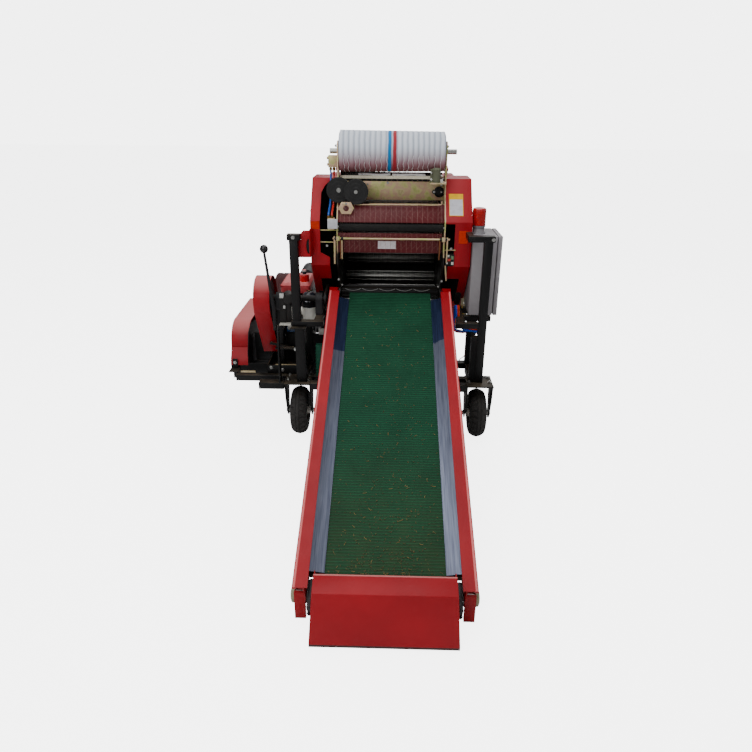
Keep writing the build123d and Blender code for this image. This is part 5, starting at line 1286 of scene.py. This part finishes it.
        # lever: flat bar with a drilled boss, black grip ball
        bar = [(-578, 590), (-562, 590), (-562, 706), (-564, 714), (-595, 978), (-606, 978), (-580, 710),
               (-578, 700)]
        solid("lever_bar", "bare_steel", (prism, [at(x, -49, z) for x, z in bar], BACK * 8 * MM),
              (turned, [(0, 14), (6, 14), (8, 6), (22, 6), (22, 0)], at(-570, -45, 600), RIGHT, 28),
              (tube, places((-600, -45, 960), (-600, -45, 990)), 5.0), paint="black_plastic", edge=0.001,
              body="lever", replaced=["clutch_lever"])
        ball = [(-19.6, 0), (-19.4, 5), (-16, 12.6), (-10, 17.6), (0, 20.3), (10, 17.6), (16, 12.6),
                (19.4, 5), (19.6, 0)]
        solid("lever_ball", "bare_steel", (turned, ball, at(-600, -45, 994), UP),
              paint=gloss_plastic("bakelite_black", "#101012"), body="lever", smooth=60)

        # low guard's folded foot, its black back sheet and stay; arm from the tall guard to the post
        solid("low_guard_foot", "red_paint", folded(
            [(141, 425), (128, 400), (109, 374), (102, 352), (99, 339)], 0, 3))
        inner = ((112, 345), (112, 400), (160, 505), (220, 535), (330, 520), (400, 470), (430, 400),
                 (420, 330), (360, 280), (250, 262), (180, 262))
        solid("guard_backing", "black_paint", folded(
            [(99, 339), (103, 322), (121, 298), (150, 272), (181, 255)], 1, 4),
            (prism, [at(-757, y, z) for y, z in inner], RIGHT * 3 * MM),
            *blocks((-836, -809, 92, 96, 268, 376), (-808, -640, 102, 106, 284, 350)),
            (tube, places((-632, 122, 458), (-600, 100, 462), (-477, 2, 468)), 7.0, 12), smooth=30)

        # shelf and stand of the throttle on the lever's bracket
        solid("throttle_shelf", "bare_steel", *blocks((-550, -492, -42, 26, 613, 616)),
              paint=flat_print("galvanised_pale", "#B4B2A8"), edge=0.0008)
        solid("throttle_stand", "dark_steel", *blocks((-548, -518, -6, 0, 616, 772)),
              (turned, [(0, 0), (0, 24), (4, 27), (40, 27), (46, 22), (46, 0)], at(-500, 24, 742), FRONT, 28),
              *blocks((-520, -492, 0, 20, 616, 750)), edge=0.001)
        solid("throttle_clip", "black_plastic", *blocks(
            (-546, -524, -12, -6, 744, 768), (-530, -519, -10, -6, 690, 706)),
            paint="white_plastic", edge=0.002)
        # green pump that stands on the front beam, with its ribs
        solid("green_pump", "green_paint", *blocks((-376, -346, 14, 46, 318, 478), *[
            (-380, -343, 11, 49, z, z + 5) for z in range(324, 461, 17)], (-378, -344, 12, 48, 478, 490)),
            edge=0.001)
        # small fittings on the engine's front: solenoid, pump, plates, pipes; tray and bars between the beams
        solenoid = [(0, 0), (0, 26), (5, 30), (48, 30), (54, 26), (54, 0)]
        solid("engine_fittings", "dark_steel", (turned, solenoid, at(-540, 229, 690), FRONT, 28),
              *blocks((-566, -520, 176, 229, 640, 668), (-600, -470, 196, 229, 552, 562),
                      (-560, -505, 190, 229, 430, 540)), edge=0.0015)
        for name, code, *rows in (
            ("plates_pale", "#C0BDB0", (-596, -533, 190, 196, 540, 566), (-584, -562, 200, 229, 684, 700)),
            ("plates_blue", "#34568A", (-552, -510, 186, 190, 500, 532), (-548, -512, 182, 190, 578, 594)),
            ("sheet_white", "#D4D2CC", (-386, -346, 229, 232, 472, 508)),
            ("plates_cream", "#B8A884", (-800, -718, 98, 102, 286, 307), (-545, -521, 184, 190, 405, 416),
             (-600, -480, 60, 66, 352, 362)),
        ):
            solid("engine_" + name, "engine_grey", *blocks(*rows),
                  paint=gloss_plastic(f"engine_{name}_paint", code), edge=0.001)
        pipe = places((-600, 229, 664), (-600, 205, 655), (-590, 205, 625), (-575, 229, 610))
        solid("engine_pipes", "engine_grey", (tube, places((-609, 218, 496), (-596, 218, 446)), 4.0),
              (tube, soft_line(pipe, 0.012), 3.4),
              (turned, [(0, 7), (14, 7), (15, 5), (15, 0)], at(-602, 229, 664), FRONT, 16),
              (turned, [(0, 6), (12, 6), (13, 4), (13, 0)], at(-594, 229, 642), FRONT, 16), paint="brass")
        solid("drip_tray", "black_paint", *blocks(
            (-640, -440, 40, 232, 318, 322), (-640, -440, 40, 44, 318, 366), (-740, -325, 232, 235, 262, 480),
            (-445, -370, 232, 235, 224, 262), (-372, -325, 232, 235, 480, 610),
            (-640, -636, 40, 232, 318, 366), (-444, -440, 40, 232, 318, 366)), edge=0.001)
        bolts("engine_bolts", "chassis", heads(LEFT, (-836, 242, 360, 13)) + heads(
            FRONT, (-619, 39.5, 352, 14), (-560, 39.5, 340, 14), (-823, 91.5, 356, 13),
            *[(x, 228, z, 13) for x in (-500, -560) for z in (470, 545)]) + heads(
            RIGHT, *[(-455, y, z, 12) for y in (500, 560, 620, 680, 740, 800) for z in (400, 610)]))
        return {"FINISHED"}


# A tyre's section as x and radius: one half from its bead to the middle, then the same mirrored
TYRE_SECTION = [
    (-30, 52), (-40, 57), (-43.2, 66), (-44, 77), (-43.6, 90), (-41.5, 101), (-38, 110), (-31, 117),
    (-24, 121.5), (-15, 125.5), (-11, 126.6), (-10, 123.5), (-7, 123.7), (-6, 127.7), (0, 129)]
TYRE_SECTION += [(-x, radius) for x, radius in reversed(TYRE_SECTION[:-1])]


def lug(index, step):
    """How deep the tread is cut at a corner of the section: lugs take turns from side to side."""
    x, radius = TYRE_SECTION[index]
    phase = (step + (4 if x > 0 else 0)) % 8
    if abs(x) < 12 or radius < 100 or phase > 2:
        return 0.0
    return -6.0 if abs(x) > 20 else -3.5


class BALER_OT_wheels(bpy.types.Operator):
    """Finish the wheels with treaded tyres and bolted rims, and the casters"""
    bl_idname = "baler.wheels"
    bl_label = "Wheels"

    def execute(self, context):
        for side, name in zip(SIDES, ("left", "right")):
            body = BODY_OF[f"wheel_{name}_tyre"]
            solid(f"tyre_{name}_treaded", "tyre_rubber", (
                turned, TYRE_SECTION + TYRE_SECTION[:1], at(side * WHEEL_X, 0, WHEEL_R), RIGHT, 192, lug),
                body=body, replaced=[f"wheel_{name}_tyre"], smooth=30)
            dress(f"wheel_{name}_rim", 0.0012)
            rows = []
            for number in range(4):
                turn = math.radians(45 + 90 * number)
                y, z = 31 * math.cos(turn), WHEEL_R + 31 * math.sin(turn)
                rows += [(at(side * WHEEL_X + face * 6, y, z), RIGHT * face, 12) for face in SIDES]
            bolts(f"wheel_{name}_nuts", body, rows)
            for node in (f"caster_{name}_fork", f"caster_{name}_wheel"):
                dress(node, 0.002)
            bolts(f"caster_{name}_nuts", BODY_OF[f"caster_{name}_fork"], [
                (at(side * 295 + face * 38, 745, 100), RIGHT * face, 15) for face in SIDES])
        return {"FINISHED"}


class BALER_OT_cabinet(bpy.types.Operator):
    """Finish the cabinet with its door's locks, its hinges and the beacon, and the hoses below it"""
    bl_idname = "baler.cabinet"
    bl_label = "Cabinet"

    def execute(self, context):
        dress("cabinet", 0.0015)
        dress("cabinet_door", 0.003)
        solid("door_locks", "grey_paint", *[
            (turned, [(-3, 9), (0.1, 9), (0.3, 8.6), (0.3, 0)], at(542, 84, z), RIGHT, 28)
            for z in (735, 975)], paint="chromed_rod", body="door")
        for name, body, length, heights in (
                ("fixed", "chassis", 32, (698, 958)), ("door", "door", 30, (731, 991))):
            solid("hinge_knuckles_" + name, "grey_paint", *[
                (turned, [(0, 6.3), (length, 6.3)], at(536, 308, z), UP, 20) for z in heights],
                paint="bare_steel", body=body)

        # hoses from the case, past the front of the cabinet's arm, into the back of the post; wires behind
        for name, code, radius, *line in (
            ("hose_blue", "#1450C8", 6.0, (338, 96, 690), (340, 84, 655), (343, 84, 608), (356, 83, 590),
             (386, 82, 562), (428, 82, 556), (450, 60, 562), (458, 3, 572)),
            ("hose_red", "#D0321C", 5.5, (347, 96, 690), (343, 84, 640), (339, 84, 600), (338, 84, 585),
             (377, 82, 577), (427, 82, 567), (454, 56, 574), (464, 3, 584)),
            ("hose_navy", "#0C3498", 5.5, (332, 96, 690), (334, 86, 610), (338, 84, 562), (387, 84, 552),
             (427, 88, 556), (452, 58, 554), (462, 3, 560)),
            ("hose_scarlet", "#C82C18", 5.0, (330, 98, 690), (330, 92, 600), (341, 92, 548), (387, 92, 544),
             (427, 96, 560), (456, 64, 566), (466, 3, 566)),
            ("hose_orange", "#D0401C", 4.5, (353, 96, 690), (356, 84, 612), (384, 84, 587), (420, 84, 574),
             (448, 60, 580), (470, 3, 578)),
            ("wire_red", "#A83420", 2.6, (425, 244, 517), (423, 242, 430), (421, 240, 361), (388, 240, 332)),
            ("wire_yellow", "#B08A20", 2.2,
             (385, 236, 650), (394, 236, 590), (418, 238, 557), (436, 240, 660)),
        ):
            solid("cabinet_" + name, "hose_plastic", *rods((radius, *line)),
                  paint=gloss_plastic(f"cabinet_{name}_pvc", code))
        solid("arm_back_plate", "hose_plastic", *blocks(
            (382, 399, 270, 273, 548, 690), (399, 419, 270, 273, 548, 648)),
            paint=flat_print("primer_cream", "#D2C6A4"), edge=0.0006)

        # beacon: grey foot on two black legs, ribbed red lens
        foot = at(432, 150, 1045.3)
        solid("beacon_foot", "grey_paint", (turned, [(0, 35), (5, 35), (7, 33), (7, 28)], foot, UP),
              (turned, [(26, 30), (34, 33.5), (39, 33.5), (39, 30), (26, 30)], foot, UP, 48),
              paint=gloss_plastic("abs_grey", "#77757A"))
        solid("beacon_legs", "grey_paint", *blocks(*[(x, x + 10, 140, 160, 1050, 1078) for x in (410, 446)]),
              paint="black_plastic", edge=0.001)
        profile = [(0, 32)]
        for height in range(2, 67, 8):
            profile += [(height, 33.6), (height + 4, 33.6), (height + 5, 32.2), (height + 7, 32.2)]
        profile += [(76, 33), (81, 29), (84, 20), (85, 8), (85, 0)]
        solid("beacon_lens_ribbed", "beacon_red", (
            turned, profile, at(432, 150, 1085), UP, 56, lambda index, step: 0.5 if step % 4 < 2 else -0.5),
            body=BODY_OF["beacon_lens"], replaced=["beacon_lens"], smooth=25)
        return {"FINISHED"}


def seen_and_lit(tree, seen, lighting):
    """A brightness that is higher where it is looked at than where it lights, as a lit backdrop is."""
    looked_at = add(tree, "ShaderNodeLightPath").outputs["Is Camera Ray"]
    return spread(tree, looked_at, to_low=lighting, to_high=seen)


class BALER_OT_stage(bpy.types.Operator):
    """Pale floor, soft studio light and the camera at the photographed angle"""
    bl_idname = "baler.stage"
    bl_label = "Stage"

    def execute(self, context):
        scene = context.scene
        bm = bmesh.new()
        bmesh.ops.create_grid(bm, x_segments=1, y_segments=1, size=30.0)
        floor = mesh_piece("floor", bm)
        material, tree, shader = new_material("studio_floor", linear("#F2F2F2"), Roughness=0.9)
        shader.inputs["Emission Color"].default_value = (1.0, 1.0, 1.0, 1.0)
        tree.links.new(seen_and_lit(tree, FLOOR_SEEN, 0.0), shader.inputs["Emission Strength"])
        floor.data.materials.append(material)
        world = bpy.data.worlds.new("studio")
        scene.world = world
        world.use_nodes = True
        tree = world.node_tree
        background = tree.nodes["Background"]
        background.inputs["Color"].default_value = (1.0, 1.0, 1.0, 1.0)
        tree.links.new(seen_and_lit(tree, WORLD_SEEN, WORLD_LIGHT), background.inputs["Strength"])
        for name, place, size, power in LIGHTS:
            light = bpy.data.lights.new(name, "AREA")
            light.size = size
            light.energy = power
            lamp = bpy.data.objects.new(name, light)
            lamp.location = place
            lamp.rotation_euler = (LIT_POINT - Vector(place)).to_track_quat("-Z", "Y").to_euler()
            scene.collection.objects.link(lamp)
        yaw, pitch, roll = (math.radians(v) for v in CAMERA_TURN)
        forward = Vector((math.sin(yaw), math.cos(yaw), 0))
        right = Vector((math.cos(yaw), -math.sin(yaw), 0))
        ahead = forward * math.cos(pitch) - UP * math.sin(pitch)
        above = forward * math.sin(pitch) + UP * math.cos(pitch)
        side = right * math.cos(roll) + above * math.sin(roll)
        top = above * math.cos(roll) - right * math.sin(roll)
        camera = bpy.data.cameras.new("photo_camera")
        camera.lens = LENS
        camera.sensor_width = SENSOR
        camera.clip_end = 100.0
        viewer = bpy.data.objects.new("photo_camera", camera)
        viewer.matrix_world = Matrix((side, top, -ahead)).transposed().to_4x4()
        viewer.location = CAMERA_PLACE
        scene.collection.objects.link(viewer)
        scene.camera = viewer
        return {"FINISHED"}


OPERATORS = (
    BALER_OT_stage, BALER_OT_frame, BALER_OT_chamber, BALER_OT_net_unit, BALER_OT_conveyor, BALER_OT_drive,
    BALER_OT_wheels, BALER_OT_cabinet,
)


class BALER_PT_panel(bpy.types.Panel):
    """Lists the groups of pieces"""
    bl_label = "Baler"
    bl_space_type = "VIEW_3D"
    bl_region_type = "UI"
    bl_category = "Baler"

    def draw(self, context):
        for operator in OPERATORS:
            self.layout.operator(operator.bl_idname)


CLASSES = (BalerFinishes, BalerSizes) + OPERATORS + (BALER_PT_panel,)


def register():
    for entry in CLASSES:
        bpy.utils.register_class(entry)
    bpy.types.Scene.baler_finishes = bpy.props.PointerProperty(type=BalerFinishes)
    bpy.types.Scene.baler_sizes = bpy.props.PointerProperty(type=BalerSizes)


def unregister():
    del bpy.types.Scene.baler_sizes
    del bpy.types.Scene.baler_finishes
    for entry in reversed(CLASSES):
        bpy.utils.unregister_class(entry)


def main():
    register()
    bpy.ops.baler.stage()
    bpy.ops.baler.frame()
    bpy.ops.baler.chamber()
    bpy.ops.baler.net_unit()
    bpy.ops.baler.conveyor()
    bpy.ops.baler.drive()
    bpy.ops.baler.wheels()
    bpy.ops.baler.cabinet()


if __name__ == "__main__":
    main()
